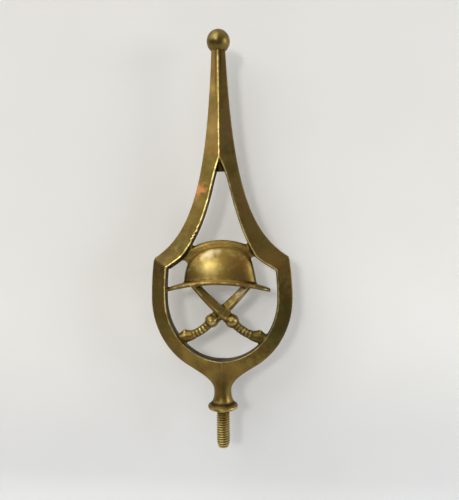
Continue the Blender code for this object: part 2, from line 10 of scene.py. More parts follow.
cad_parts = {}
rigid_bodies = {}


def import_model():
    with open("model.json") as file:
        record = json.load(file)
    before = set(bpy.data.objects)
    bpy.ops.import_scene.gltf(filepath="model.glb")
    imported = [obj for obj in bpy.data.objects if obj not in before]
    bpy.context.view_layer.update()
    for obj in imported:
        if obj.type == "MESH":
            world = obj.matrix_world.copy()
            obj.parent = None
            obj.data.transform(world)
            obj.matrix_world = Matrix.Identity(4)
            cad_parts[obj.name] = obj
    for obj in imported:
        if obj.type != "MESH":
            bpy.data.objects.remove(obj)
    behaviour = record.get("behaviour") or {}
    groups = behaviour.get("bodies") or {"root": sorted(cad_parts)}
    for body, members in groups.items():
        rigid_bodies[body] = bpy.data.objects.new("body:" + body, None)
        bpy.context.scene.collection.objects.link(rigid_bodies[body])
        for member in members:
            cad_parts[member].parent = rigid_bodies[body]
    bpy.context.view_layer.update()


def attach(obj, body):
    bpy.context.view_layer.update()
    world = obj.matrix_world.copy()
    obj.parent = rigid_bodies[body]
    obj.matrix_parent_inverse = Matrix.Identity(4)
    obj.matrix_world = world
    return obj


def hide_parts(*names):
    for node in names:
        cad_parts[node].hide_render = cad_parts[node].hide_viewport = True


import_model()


# Camera
# It stands level with the helmet and a little to the right of the front face, close enough that
# the collar is seen from above and the ball from below.
camera_turn = math.radians(5.0)
camera_roll = math.radians(-0.7515)
camera_distance = 0.26775
camera_height = 0.0938
camera_aside = 0.005058
focal_length_px = 450.0
picture_height_px = 500.0
sensor_mm = 36.0

to_the_right = Vector((math.cos(camera_turn), math.sin(camera_turn), 0.0))
ahead = Vector((-math.sin(camera_turn), math.cos(camera_turn), 0.0))
upward = Vector((0.0, 0.0, 1.0))
camera_x = to_the_right * math.cos(camera_roll) + upward * math.sin(camera_roll)
camera_y = upward * math.cos(camera_roll) - to_the_right * math.sin(camera_roll)
camera_place = camera_aside * to_the_right - camera_distance * ahead + camera_height * upward

camera_data = bpy.data.cameras.new("camera")
camera_data.sensor_width = sensor_mm
camera_data.lens = sensor_mm * focal_length_px / picture_height_px
camera_data.clip_start = 0.01
camera = bpy.data.objects.new("camera", camera_data)
camera_turned = Matrix((camera_x, camera_y, -ahead)).transposed().to_4x4()
camera.matrix_world = Matrix.Translation(camera_place) @ camera_turned
bpy.context.scene.collection.objects.link(camera)
bpy.context.scene.camera = camera


# Frame, neck and collar
# The open spear shape that carries everything else, cast in brass. Its faces fall from a high
# inner lip to a thin outer edge, and meet in a ridge down the stem and the foot. The foot runs
# into a turned neck and a collar with a rolled lip that seats on the pole's cap.
ball_top = 0.2248
ball_diameter = 0.0138
stem_top_width = 0.0082
stem_lean = math.radians(2.7)
stem_reach = 0.0745
shoulder_height = 0.0894
shoulder_slope = math.radians(30.7)
shoulder_reach = 0.0277
shoulder_rounding = 0.0022
ring_width = 0.0836
ring_widest_height = 0.0657
ring_rise = 0.0870
ring_drop = 0.0458
face_width = 0.0085
outer_edge_thickness = 0.0042
face_slope = math.tan(math.radians(15.8))
inner_wall_swell = 0.0005
edge_rounding = 0.0005
lip_rounding = 0.00065
ridge_rounding = 0.00045
apex_height = 0.1480
opening_top_height = 0.1404
arm_waist_share = 0.44
arm_full_share = 0.83
arm_waist = {-1: 0.0085, 1: 0.0075}
arm_full = {-1: 0.0101, 1: 0.0121}
arm_foot = {-1: 0.0090, 1: 0.0106}
arm_widening = 1.9
wall_fillet_share = 0.75
wall_fillet = {-1: 0.0012, 1: 0.0}
foot_width = 0.0390
foot_ring_reach = 0.0100
foot_neck_reach = 0.0055
neck_diameter = 0.0102
neck_waist_height = 0.0105
collar_diameter = 0.0178
collar_seat_diameter = 0.0152
collar_lip_thickness = 0.0026
neck_flare = 0.2
collar_lip_start = math.radians(-50.0)
collar_lip_end = math.radians(55.0)
ridge_wear = 0.62
foot_ridge_wear = 0.42
lip_wear = 0.62
beside_lip_wear = 0.36
# The inner walls and the outer edges are darkened, partly as dirt and partly as painted shade.
wall_dirt_and_shade = 0.75
outer_edge_dirt_and_shade = 0.55
arm_steps = 210
ring_steps = 120
foot_steps = 24
neck_steps = 20
corner_steps = 8
corner_reach = 6
first_ring_point = 4
rounding_steps = 3
outer_row = 0.0009
ridge_row = 0.0009
lip_row = 0.0018
face_row_shares = (0.66, 0.33)
wall_row_shares = (0.0, 0.35, 0.7)
wall_rows = 5
collar_lip_wear = 0.4
# The band above the collar's lip is painted shade that stands in for a dark reflection.
collar_painted_shade = 0.9
collar_painted_shade_height = 0.0036
collar_band_reach = 0.0010
seam_gap = 0.000006


def lerp(a, b, t):
    return a + (b - a) * t


def bezier(points, t):
    level = list(points)
    while len(level) > 1:
        level = [level[i].lerp(level[i + 1], t) for i in range(len(level) - 1)]
    return level[0]


def solve(function, low, high):
    """Root of a function that changes sign between low and high."""
    low_sign = function(low) > 0
    for _ in range(50):
        middle = (low + high) / 2
        if (function(middle) > 0) == low_sign:
            low = middle
        else:
            high = middle
    return (low + high) / 2


def closed_object(name, bm):
    """Object from a closed bmesh, with its faces turned outwards."""
    bmesh.ops.recalc_face_normals(bm, faces=bm.faces)
    if bm.calc_volume(signed=True) < 0:
        bmesh.ops.reverse_faces(bm, faces=bm.faces)
    mesh = bpy.data.meshes.new(name)
    bm.to_mesh(mesh)
    bm.free()
    obj = bpy.data.objects.new(name, mesh)
    bpy.context.scene.collection.objects.link(obj)
    return obj


def ring_half_width(height, inset=0.0):
    half_width = ring_width / 2 - inset
    reach = (ring_rise if height > ring_widest_height else ring_drop) - inset
    share = min(1.0, abs(height - ring_widest_height) / reach)
    return half_width * math.sqrt(1.0 - share * share)


stem_top = Vector((stem_top_width / 2, ball_top - ball_diameter))
shoulder = Vector((ring_half_width(shoulder_height), shoulder_height))
arm_curve = (
    stem_top,
    stem_top + stem_reach * Vector((math.sin(stem_lean), -math.cos(stem_lean))),
    shoulder + shoulder_reach * Vector((-math.cos(shoulder_slope), math.sin(shoulder_slope))),
    shoulder,
)


def arm_offset(t, inset):
    """Point at t on the arm's outline, moved inwards by inset."""
    run = bezier(arm_curve, min(1.0, t + 0.001)) - bezier(arm_curve, max(0.0, t - 0.001))
    run.normalize()
    return bezier(arm_curve, t) + inset * Vector((run.y, -run.x))


def face_width_to_centre(t):
    across = arm_offset(t, 0.0) - arm_offset(t, face_width)
    return face_width * arm_offset(t, 0.0).x / across.x


def arm_limits(side):
    """Where the opening starts on an arm's outline and where its lip meets the ring's."""
    def outside(t):
        point = arm_offset(t, arm_foot[side])
        return point.x - ring_half_width(point.y, face_width)
    start = solve(lambda t: arm_offset(t, face_width_to_centre(t)).y - apex_height, 0.0, 0.9)
    return start, solve(outside, 0.2, 1.0)


def smooth(share):
    share = max(0.0, min(1.0, share))
    return share * share * (3 - 2 * share)


def arm_face_width(t, side, limits):
    """Width of an arm's face: narrowest beside the web, widest at the shoulder."""
    start, end = limits
    if t < arm_waist_share:
        share = (t - start) / (arm_waist_share - start)
        return lerp(face_width_to_centre(start), arm_waist[side], 1 - (1 - share) ** 2)
    if t < arm_full_share:
        share = (t - arm_waist_share) / (arm_full_share - arm_waist_share)
        return lerp(arm_waist[side], arm_full[side], share ** arm_widening)
    return lerp(arm_full[side], arm_foot[side],
                smooth((t - arm_full_share) / (end - arm_full_share)))


def arm_lip(t, side, limits, further=0.0):
    return arm_offset(t, arm_face_width(t, side, limits) + further)


def ring_arc(start_height, inset, steps):
    """Points down the ring's outline, from a height to its bottom on the centre line."""
    half_width = ring_width / 2 - inset
    rise = ring_rise - inset
    drop = ring_drop - inset
    start_angle = math.asin((start_height - ring_widest_height) / rise)
    upper_steps = steps // 4
    points = []
    for i in range(upper_steps):
        angle = start_angle * (1 - i / upper_steps)
        height = ring_widest_height + rise * math.sin(angle)
        points.append(Vector((half_width * math.cos(angle), height)))
    lower_steps = steps - upper_steps
    for i in range(lower_steps + 1):
        angle = math.pi / 2 * i / lower_steps
        height = ring_widest_height - drop * math.sin(angle)
        points.append(Vector((half_width * math.cos(angle), height)))
    points[-1].x = 0.0
    return points


def rounded_corner(before, corner, after, radius):
    start = corner + (before - corner).normalized() * radius
    end = corner + (after - corner).normalized() * radius
    return [bezier((start, corner, end), i / corner_steps) for i in range(corner_steps + 1)]


def foot_outline():
    """Side of the frame's foot, from the ring down to the neck's waist."""
    height = solve(lambda h: ring_half_width(h) - foot_width / 2,
                   ring_widest_height - ring_drop, ring_widest_height)
    start = Vector((ring_half_width(height), height))
    nearby = Vector((ring_half_width(height + 0.001), height + 0.001))
    run = (start - nearby).normalized()
    waist = Vector((neck_diameter / 2, neck_waist_height))
    curve = (start, start + foot_ring_reach * run, waist + Vector((0.0, foot_neck_reach)), waist)
    return [bezier(curve, i / foot_steps) for i in range(foot_steps + 1)]


def neck_outline():
    """Radius and height of the neck and collar, from the waist down to the seat."""
    points = [(collar_seat_diameter / 2, 0.0)]
    for i in range(neck_steps + 1):
        angle = lerp(collar_lip_start, collar_lip_end, i / neck_steps)
        radius = collar_diameter / 2 - collar_lip_thickness / 2 * (1 - math.cos(angle))
        points.append((radius, collar_lip_thickness / 2 * (1 + math.sin(angle))))
    start = Vector(points[-1])
    waist = Vector((neck_diameter / 2, neck_waist_height))
    bend = Vector((neck_diameter / 2, lerp(start.y, waist.y, neck_flare)))
    points += [tuple(bezier((start, bend, waist), i / neck_steps)) for i in range(1, neck_steps)]
    return points[::-1]


def frame_stations(side):
    """Stations down one half: outer point, inner point, kind, reach, roundness and wall swell."""
    limits = arm_limits(side)
    stem_end, corner_t = limits
    stem_steps = arm_steps // 3
    top = Vector((stem_top_width / 2, ball_top - ball_diameter / 2))
    stations = [(top, Vector((0.0, top.y)), "solid", top.x, 0.0, 0.0)]
    for i in range(stem_steps):
        t = stem_end * i / stem_steps
        reach = face_width_to_centre(t)
        ridge = Vector((0.0, arm_offset(t, reach).y))
        stations.append((arm_offset(t, 0.0), ridge, "solid", reach, 0.0, 0.0))
    reach = face_width_to_centre(stem_end)
    apex = Vector((0.0, apex_height))
    stations.append((arm_offset(stem_end, 0.0), apex, "end", reach, 0.0, inner_wall_swell))

    steps = arm_steps - stem_steps
    for i in range(1, steps):
        share = i / steps
        outer = arm_offset(lerp(stem_end, 1.0, share), 0.0)
        t = lerp(stem_end, corner_t, share)
        lip_reach = lerp(face_width, reach, (1 - share) ** 3)
        fillet_share = (t - wall_fillet_share) / (arm_full_share - wall_fillet_share)
        swell = inner_wall_swell + wall_fillet[side] * smooth(fillet_share)
        stations.append((outer, arm_lip(t, side, limits), "open", lip_reach, 0.0, swell))

    inner_corner = arm_lip(corner_t, side, limits)
    outer_ring = ring_arc(shoulder_height, 0.0, ring_steps)
    inner_ring = ring_arc(inner_corner.y, face_width, ring_steps)
    outer_round = rounded_corner(stations[-1][0], shoulder, outer_ring[corner_reach],
                                 shoulder_rounding)
    inner_round = rounded_corner(stations[-1][1], inner_corner, inner_ring[corner_reach],
                                 shoulder_rounding / 2)
    last_swell = stations[-1][5]
    for i, (outer, inner) in enumerate(zip(outer_round, inner_round)):
        swell = lerp(last_swell, inner_wall_swell, i / corner_steps)
        stations.append((outer, inner, "open", face_width, 0.0, swell))

    foot = foot_outline()
    meet = max(i for i, point in enumerate(outer_ring) if point.x > foot[0].x)
    for i in range(first_ring_point, meet + 1):
        place = i / (meet + 1) * (len(inner_ring) - 1)
        low = int(place)
        inner = inner_ring[low].lerp(inner_ring[low + 1], place - low)
        stations.append((outer_ring[i], inner, "open", face_width, 0.0, inner_wall_swell))
    floor = inner_ring[-1]
    stations.append((foot[0], floor, "end", face_width, 0.0, inner_wall_swell))
    for i, point in enumerate(foot[1:], 1):
        share = i / foot_steps
        inner = Vector((0.0, lerp(floor.y, foot[-1].y, share)))
        stations.append((point, inner, "foot", face_width, smooth(share), 0.0))
    for radius, height in neck_outline():
        centre = Vector((0.0, height))
        stations.append((Vector((radius, height)), centre, "foot", face_width, 1.0, 0.0))
    return stations


def half_profile(width, reach, kind, swell):
    """Half section as (distance from the outline, depth, wear), from the middle outwards.

    Wear is 1 where the brass is rubbed bright and -1 where it is darkened: by dirt, and by painted
    shade on the walls and above the collar's lip.
    """
    edge = outer_edge_thickness / 2
    top = edge + face_slope * reach
    slope = (top - edge) / width

    def on_face(distance, wear=0.0):
        return distance, edge + slope * distance, wear

    def rounded(start, corner, end, wear):
        rows = []
        for i in range(rounding_steps + 1):
            share = i / rounding_steps
            spot = bezier((Vector(start), Vector(corner), Vector(end)), share)
            rows.append((spot.x, spot.y, lerp(wear[0], wear[1], share)))
        return rows

    face = [on_face(width - lip_row)]
    face += [on_face(lerp(outer_row, width, share)) for share in face_row_shares]
    face.append(on_face(outer_row))
    rim = rounded((edge_rounding, edge + slope * edge_rounding), (0.0, edge),
                  (0.0, edge - edge_rounding), (0.0, -outer_edge_dirt_and_shade))
    if kind in ("solid", "foot"):
        blunt = slope * ridge_rounding
        rubbed = foot_ridge_wear if kind == "foot" else ridge_wear
        middle = [(width, top - blunt / 2, rubbed),
                  (width - ridge_rounding, top - blunt, rubbed / 2), on_face(width - ridge_row)]
    else:
        middle = [(width + swell * math.cos(math.pi / 2 * share),
                   (top - lip_rounding) * share, -wall_dirt_and_shade) for share in wall_row_shares]
        middle += rounded((width, top - lip_rounding), (width, top),
                          (width - lip_rounding, top - slope * lip_rounding), (0.3, lip_wear))
        middle.append(on_face(width - ridge_row, beside_lip_wear))
    return middle + face + rim + [(0.0, 0.0, -outer_edge_dirt_and_shade)]


lip_nicks = ((0.1073, 0.00035, 0.0005), (0.1039, 0.00070, 0.0006), (0.1021, 0.00055, 0.0005),
             (0.1001, 0.00060, 0.0007))
foot_faces_top = 0.0420
foot_faces_full = 0.0300
lowest_outline = [station[0] for station in frame_stations(1) if station[0].y < 0.0600]


def collar_wear_and_painted_shade(height):
    """Painted shade, standing in for a dark reflection, lies in a band above the collar's lip, and
    the lip itself is rubbed.
    """
    dirt_and_shade_share = math.exp(-((height - collar_painted_shade_height) / collar_band_reach) ** 2)
    lip = math.exp(-((height - collar_lip_thickness / 2) / collar_band_reach) ** 2)
    return collar_lip_wear * lip - collar_painted_shade * dirt_and_shade_share


def nick(side, height):
    """How far a casting flaw bites into the left arm's lip at a height."""
    if side > 0:
        return 0.0
    return sum(bite * math.exp(-((height - middle) / reach) ** 2)
               for middle, bite, reach in lip_nicks)


def distance_to_outline(place):
    """Shortest way from a place to the side of the lower ring and the foot."""
    best = 1.0
    for start, end in zip(lowest_outline, lowest_outline[1:]):
        run = end - start
        share = max(0.0, min(1.0, (place - start).dot(run) / run.length_squared))
        best = min(best, (place - start - run * share).length)
    return best


def half_section(side, outer, inner, kind, reach, roundness, swell):
    """Half section in space as (x, depth, height, wear).

    Low on the ring the depth follows the distance from the outline, so that the faces run on
    into the foot without a break.
    """
    width = (inner - outer).length
    direction = (inner - outer).normalized()
    profile = half_profile(width, reach, kind, swell)
    lip_depth = profile[wall_rows][1]
    lowness = smooth((foot_faces_top - inner.y) / (foot_faces_top - foot_faces_full))
    rise = 0.0
    if lowness > 0 and roundness < 1:
        rise = lowness * face_slope * (distance_to_outline(inner) - face_width)
    rows = []
    for number, (distance, depth, wear) in enumerate(profile):
        if kind == "open" and wall_rows - 3 < number < wall_rows + 3:
            distance -= nick(side, inner.y)
        place = outer + direction * distance
        if rise and kind in ("end", "open") and number <= wall_rows:
            depth += rise * depth / lip_depth
        elif lowness > 0 and roundness < 1 and depth > outer_edge_thickness / 2:
            near = distance_to_outline(place) if distance < width else distance_to_outline(inner)
            lifted = outer_edge_thickness / 2 + face_slope * near
            if kind == "foot" and distance == width:
                lifted -= face_slope * ridge_rounding / 2
            depth = lerp(depth, lifted, lowness)
        x, height = max(0.0, place.x), place.y
        if kind in ("end", "open") and number <= wall_rows:
            if kind == "end":
                x, height = 0.0, inner.y
            height = min(height, lerp(opening_top_height, apex_height, depth / lip_depth))
        if roundness > 0:
            angle = math.pi / 2 * number / (len(profile) - 1)
            round_depth = neck_diameter / 2 if outer.y > neck_waist_height else outer.x
            x = lerp(x, outer.x * math.sin(angle), roundness)
            depth = lerp(depth, round_depth * math.cos(angle), roundness)
            wear = lerp(wear, collar_wear_and_painted_shade(outer.y), roundness)
        if kind in ("solid", "foot") and number == 0:
            x = 0.0
        rows.append((x, depth, height, wear))
    return rows


stations = {side: frame_stations(side) for side in (1, -1)}
frame_bm = bmesh.new()
frame_wear = frame_bm.verts.layers.float.new("edge")
frame_dirt_and_shade = frame_bm.verts.layers.float.new("dirt_and_shade")
for side in (1, -1):
    rings = []
    for station in stations[side]:
        half = half_section(side, *station)
        ring = []
        for sign, rows in ((-1, half), (1, half[-2::-1])):
            for x, depth, height, wear in rows:
                vert = frame_bm.verts.new((side * x, sign * depth, height))
                vert[frame_wear] = max(0.0, wear)
                vert[frame_dirt_and_shade] = max(0.0, -wear)
                ring.append(vert)
        rings.append(ring)
    for upper, lower in zip(rings, rings[1:]):
        if len(upper) > len(lower):
            upper = upper[wall_rows:-wall_rows]
        if len(lower) > len(upper):
            lower = lower[wall_rows:-wall_rows]
        for i in range(len(upper) - 1):
            frame_bm.faces.new((upper[i], upper[i + 1], lower[i + 1], lower[i]))
    frame_bm.faces.new(rings[0])
    frame_bm.faces.new(rings[-1])
bmesh.ops.remove_doubles(frame_bm, verts=frame_bm.verts, dist=seam_gap)
bmesh.ops.dissolve_degenerate(frame_bm, edges=frame_bm.edges, dist=0.000001)
frame_form = closed_object("frame_form", frame_bm)


# Ball
# The tip of the casting, turned smooth, with the stem's ridge running up into it.
ball_segments = 96

ball_bm = bmesh.new()
bmesh.ops.create_uvsphere(ball_bm, u_segments=ball_segments, v_segments=ball_segments // 2,
                          radius=ball_diameter / 2)
bmesh.ops.translate(ball_bm, verts=ball_bm.verts, vec=(0.0, 0.0, ball_top - ball_diameter / 2))
ball_form = closed_object("ball_form", ball_bm)


# Joints with the frame
# Where the web, the brim and the pommels grow out of the inner wall, the metal fills the corners.
# A thin lining just under the wall's surface lets these fillets form in the melt below.
lining_top = 0.1160
lining_bottom = 0.0330
lining_width = 0.0030
lining_depth_below = 0.00018
casting_root = 0.0012
casting_forms = []


def skin(sections):
    """Skin closed sections of equal point count and cap both ends."""
    bm = bmesh.new()
    rings = [[bm.verts.new(p) for p in section] for section in sections]
    count = len(rings[0])
    for lower, upper in zip(rings, rings[1:]):
        for i in range(count):
            j = (i + 1) % count
            bm.faces.new((lower[i], lower[j], upper[j], upper[i]))
    bm.faces.new(rings[0])
    bm.faces.new(rings[-1])
    return bm


for side in (1, -1):
    sections = []
    for outer, inner, kind, reach, _, swell in stations[side]:
        if kind != "open" or not lining_bottom < inner.y < lining_top:
            continue
        out = (outer - inner).normalized()
        top = outer_edge_thickness / 2 + face_slope * reach - lining_depth_below
        low = top - face_slope * lining_width
        half = [(-swell + lining_depth_below, 0.0),
                (lining_depth_below, top - lip_rounding),
                (lining_depth_below + lip_rounding / 2, top - lip_rounding / 2),
                (lining_depth_below + lip_rounding, top), (lining_width, low)]
        section = [Vector((inner.x + out.x * d, -depth, inner.y + out.y * d)) for d, depth in half]
        section += [Vector((p.x, -p.y, p.z)) for p in reversed(section[1:])]
        sections.append([Vector((side * p.x, p.y, p.z)) for p in section])
    casting_forms.append(closed_object("lining_form", skin(sections)))


# Web
# The arched plate behind the helmet that ties the arms together, cast with them. On the left its
# foot drops where the metal ran down beside the crown.
web_top_height = 0.1000
web_arch_radius = 0.0390
web_thickness = 0.0034
web_foot_height = 0.0888
web_foot_tilt = math.tan(math.radians(2.4))
web_foot_drop = 0.0040
web_foot_drop_place = -0.0184
web_foot_drop_width = 0.0034
web_root = 0.0030
web_steps = 64
web_crest_steps = 6


def arm_wall_x(height, side, further):
    """x of an arm's inner wall at a height, moved on into the opening."""
    limits = arm_limits(side)
    t = solve(lambda t: arm_lip(t, side, limits, further).y - height, *limits)
    return side * arm_lip(t, side, limits, further).x


web_sunk = inner_wall_swell - web_root
web_top_ends = [arm_wall_x(web_top_height - web_thickness, side, web_sunk) for side in (-1, 1)]
web_foot_ends = [arm_wall_x(web_foot_height, side, web_sunk) for side in (-1, 1)]
web_sections = []
for i in range(web_steps + 1):
    top_x = lerp(*web_top_ends, i / web_steps)
    foot_x = lerp(*web_foot_ends, i / web_steps)
    sag = web_arch_radius - math.sqrt(web_arch_radius ** 2 - top_x ** 2)
    half = web_thickness / 2
    drop = smooth(1 - abs(foot_x - web_foot_drop_place) / web_foot_drop_width)
    foot = web_foot_height + web_foot_tilt * foot_x - web_foot_drop * drop
    section = [Vector((foot_x, -half, foot))]
    for k in range(web_crest_steps + 1):
        angle = math.pi * k / web_crest_steps
        height = web_top_height - sag - half + half * math.sin(angle)
        section.append(Vector((top_x, -half * math.cos(angle), height)))
    section.append(Vector((foot_x, half, foot)))
    web_sections.append(section)
casting_forms.append(closed_object("web_form", skin(web_sections)))


# Helmet
# A domed crown on an arched brim, cast in the round. The brim's left end runs into the ring
# and its right tip stays free. It stands in front of and behind the web.
brim_top_height = 0.0765
brim_arch_radius = 0.0880
brim_tilt = math.tan(math.radians(1.8))
brim_depth = 0.0180
brim_thickness_middle = 0.0031
brim_thickness_tip = 0.0020
brim_tip_gap = 0.0024
brim_tip_angle = math.radians(15.0)
brim_dish = 0.0005
crown_left = 0.0228
crown_right = 0.0214
crown_depth = 0.0142
crown_height = 0.0200
crown_taper_left = 0.0024
crown_taper_right = 0.0046
crown_shoulder_left = 3.3
crown_shoulder_right = 6.5
crown_shoulder_depth = 2.8
crown_crest_flat = 0.00006
brim_steps = 80
crown_segments = 112
crown_levels = 40


def brim_top(x):
    return brim_top_height - x * x / (2 * brim_arch_radius) - x * brim_tilt


brim_wall = ring_half_width(brim_top_height, face_width)
brim_left = -brim_wall - casting_root
brim_right = brim_wall - inner_wall_swell - brim_tip_gap


def brim_thickness(x):
    share = abs(2 * (x - brim_left) / (brim_right - brim_left) - 1)
    return lerp(brim_thickness_middle, brim_thickness_tip, share ** 3)


brim_sections = []
for i in range(brim_steps + 1):
    angle = lerp(brim_tip_angle, math.pi - brim_tip_angle, i / brim_steps)
    x = lerp(brim_left, brim_right, (1 - math.cos(angle)) / 2)
    half_depth = brim_depth / 2 * math.sin(angle)
    top = brim_top(x)
    thickness = brim_thickness(x)
    rim = half_depth - min(thickness / 2, half_depth / 2)
    dish = brim_dish * math.sin(angle)
    brim_sections.append([
        Vector((x, -half_depth, top - thickness / 2)),
        Vector((x, -rim, top)),
        Vector((x, 0.0, top + dish)),
        Vector((x, rim, top)),
        Vector((x, half_depth, top - thickness / 2)),
        Vector((x, rim, top - thickness)),
        Vector((x, 0.0, top - thickness + dish)),
        Vector((x, -rim, top - thickness)),
    ])
casting_forms.append(closed_object("brim_form", skin(brim_sections)))

crown_sections = []
for level in range(crown_levels + 1):
    share = (1 - crown_crest_flat / crown_height) * math.sin(math.pi / 2 * level / crown_levels)
    left = (crown_left - crown_taper_left * share) * math.sqrt(1 - share ** crown_shoulder_left)
    right = (crown_right - crown_taper_right * share) * math.sqrt(1 - share ** crown_shoulder_right)
    depth = crown_depth / 2 * math.sqrt(1 - share ** crown_shoulder_depth)
    section = []
    for i in range(crown_segments):
        angle = 2 * math.pi * i / crown_segments
        x = (right if math.cos(angle) > 0 else left) * math.cos(angle)
        foot = brim_top(x) - brim_thickness(x) / 2
        height = lerp(foot, brim_top_height + crown_height, share)
        section.append(Vector((x, depth * math.sin(angle), height)))
    crown_sections.append(section)
casting_forms.append(closed_object("crown_form", skin(crown_sections)))


# Crossed sabres
# Two blades with a ridge off their middle cross under the brim. Each has a ball guard, a grip
# and a beaked pommel that grows out of the ring. The one with its hilt on the right is in front.
blade_spread = 0.0334
blade_root_width = 0.0047
blade_guard_width = 0.0071
blade_thickness = 0.0044
blade_edge_thickness = 0.0014
blade_bow = 0.0007
hilt_spread = 0.0122
hilt_height = 0.0518
sabre_lap = 0.0016
guard_diameter = 0.0084
guard_thickness = 0.0042
guard_ball_diameter = 0.0084
guard_ball_depth = 0.0090
grip_width = 0.0052
grip_thickness = 0.0048
grip_bow = 0.0027
grip_share = 0.56
pommel_height = 0.0418
pommel_beak = 0.0046
pommel_heel = 0.0036
pommel_beak_share = 0.80
pommel_end_beak = 0.0015
pommel_end_heel = 0.0029
pommel_thickness = 0.0056
blade_steps = 40
hilt_steps = 60
hilt_points = 32
guard_segments = 48

blade_root = Vector((-blade_spread / 2,
                     brim_top(-blade_spread / 2) - brim_thickness(-blade_spread / 2) / 2))
guard_place = Vector((hilt_spread / 2, hilt_height))
pommel_foot = Vector((ring_half_width(pommel_height, face_width - casting_root), pommel_height))


def bowed(start, end, bow, t):
    """Point on a curve that bows sideways, and the unit vector to its upper side."""
    run = (end - start).normalized()
    bend = (start + end) / 2 + Vector((run.y, -run.x)) * bow
    along = (bezier((start, bend, end), min(1.0, t + 0.002))
             - bezier((start, bend, end), max(0.0, t - 0.002))).normalized()
    return bezier((start, bend, end), t), Vector((-along.y, along.x))


def hilt_profile(t):
    """Upper reach, lower reach and half thickness of the hilt, from the guard to the pommel."""
    half = grip_width / 2
    thick = grip_thickness / 2
    if t <= grip_share:
        return half, half, thick
    if t <= pommel_beak_share:
        share = (t - grip_share) / (pommel_beak_share - grip_share)
        return (lerp(half, pommel_beak, share ** 1.5), lerp(half, pommel_heel, math.sqrt(share)),
                lerp(thick, pommel_thickness / 2, math.sqrt(share)))
    share = (t - pommel_beak_share) / (1 - pommel_beak_share)
    return (lerp(pommel_beak, pommel_end_beak, share), lerp(pommel_heel, pommel_end_heel, share),
            pommel_thickness / 2)


blade_ridges = {}
for side in (1, -1):
    lap = -side * sabre_lap / 2
    sections = []
    blade_ridges[side] = []
    for i in range(blade_steps + 1):
        t = i / blade_steps
        centre, up = bowed(blade_root, guard_place, 2 * blade_bow, t)
        half = lerp(blade_root_width, blade_guard_width, t) / 2
        edge = blade_edge_thickness / 2
        ridge = blade_thickness / 2
        outline = [(half, -edge), (half, edge), (-half / 3, ridge),
                   (-half, edge), (-half, -edge), (-half / 3, -ridge)]
        blade_ridges[side].append((side * (centre.x - up.x * half / 3), centre.y - up.y * half / 3))
        points = [(centre + up * across, depth) for across, depth in outline]
        sections.append([Vector((side * p.x, depth + lap, p.y)) for p, depth in points])
    casting_forms.append(closed_object("blade_form", skin(sections)))

    sections = []
    for i in range(hilt_steps + 1):
        t = i / hilt_steps
        centre, up = bowed(guard_place, pommel_foot, 2 * grip_bow, t)
        upper, lower, thick = hilt_profile(t)
        section = []
        for k in range(hilt_points):
            angle = 2 * math.pi * k / hilt_points
            point = centre + up * ((upper if math.sin(angle) > 0 else lower) * math.sin(angle))
            section.append(Vector((side * point.x, thick * math.cos(angle) + lap, point.y)))
        sections.append(section)
    casting_forms.append(closed_object("hilt_form", skin(sections)))

    for diameter, depth in ((guard_diameter, guard_thickness),
                            (guard_ball_diameter, guard_ball_depth)):
        guard_bm = bmesh.new()
        bmesh.ops.create_uvsphere(guard_bm, u_segments=guard_segments,
                                  v_segments=guard_segments // 2, radius=0.5)
        for vert in guard_bm.verts:
            vert.co = Vector((side * guard_place.x + vert.co.x * diameter,
                              lap + vert.co.z * depth, guard_place.y + vert.co.y * diameter))
        casting_forms.append(closed_object("guard_form", guard_bm))


# Wire wrap of the grips
# Broad bands round each grip with thin grooves between them, cast on as if wire were wound
# there.
wrap_count = 5
wrap_wire_radius = 0.0016
wrap_proud = 0.00034
wrap_first_share = 0.17
wrap_last_share = 0.56
wrap_path_steps = 12
wrap_counts = {"Count": wrap_count}
wrap_sizes = {"Ring Radius": grip_width / 2 + wrap_proud - wrap_wire_radius,
              "Wire Radius": wrap_wire_radius, "Flattening": grip_thickness / grip_width}


def brass_slot():
    return bpy.data.materials.get("aged_brass") or bpy.data.materials.new("aged_brass")


def maker_tree(name, given, floats, ints, made):
    """Empty Geometry Nodes tree that makes one thing from a geometry and named sizes."""
    tree = bpy.data.node_groups.new(name, "GeometryNodeTree")
    sockets = tree.interface
    sockets.new_socket(given, in_out="INPUT", socket_type="NodeSocketGeometry")
    for kind, sizes in (("NodeSocketFloat", floats), ("NodeSocketInt", ints)):
        for size, value in sizes.items():
            sockets.new_socket(size, in_out="INPUT", socket_type=kind).default_value = value
    sockets.new_socket(made, in_out="OUTPUT", socket_type="NodeSocketGeometry")
    nodes = tree.nodes
    return tree, nodes, nodes.new("NodeGroupInput"), nodes.new("NodeGroupOutput")


def join_up(tree, *joints):
    """Link each (node, output, node, input)."""
    for source, leaving, target, entering in joints:
        tree.links.new(source.outputs[leaving], target.inputs[entering])


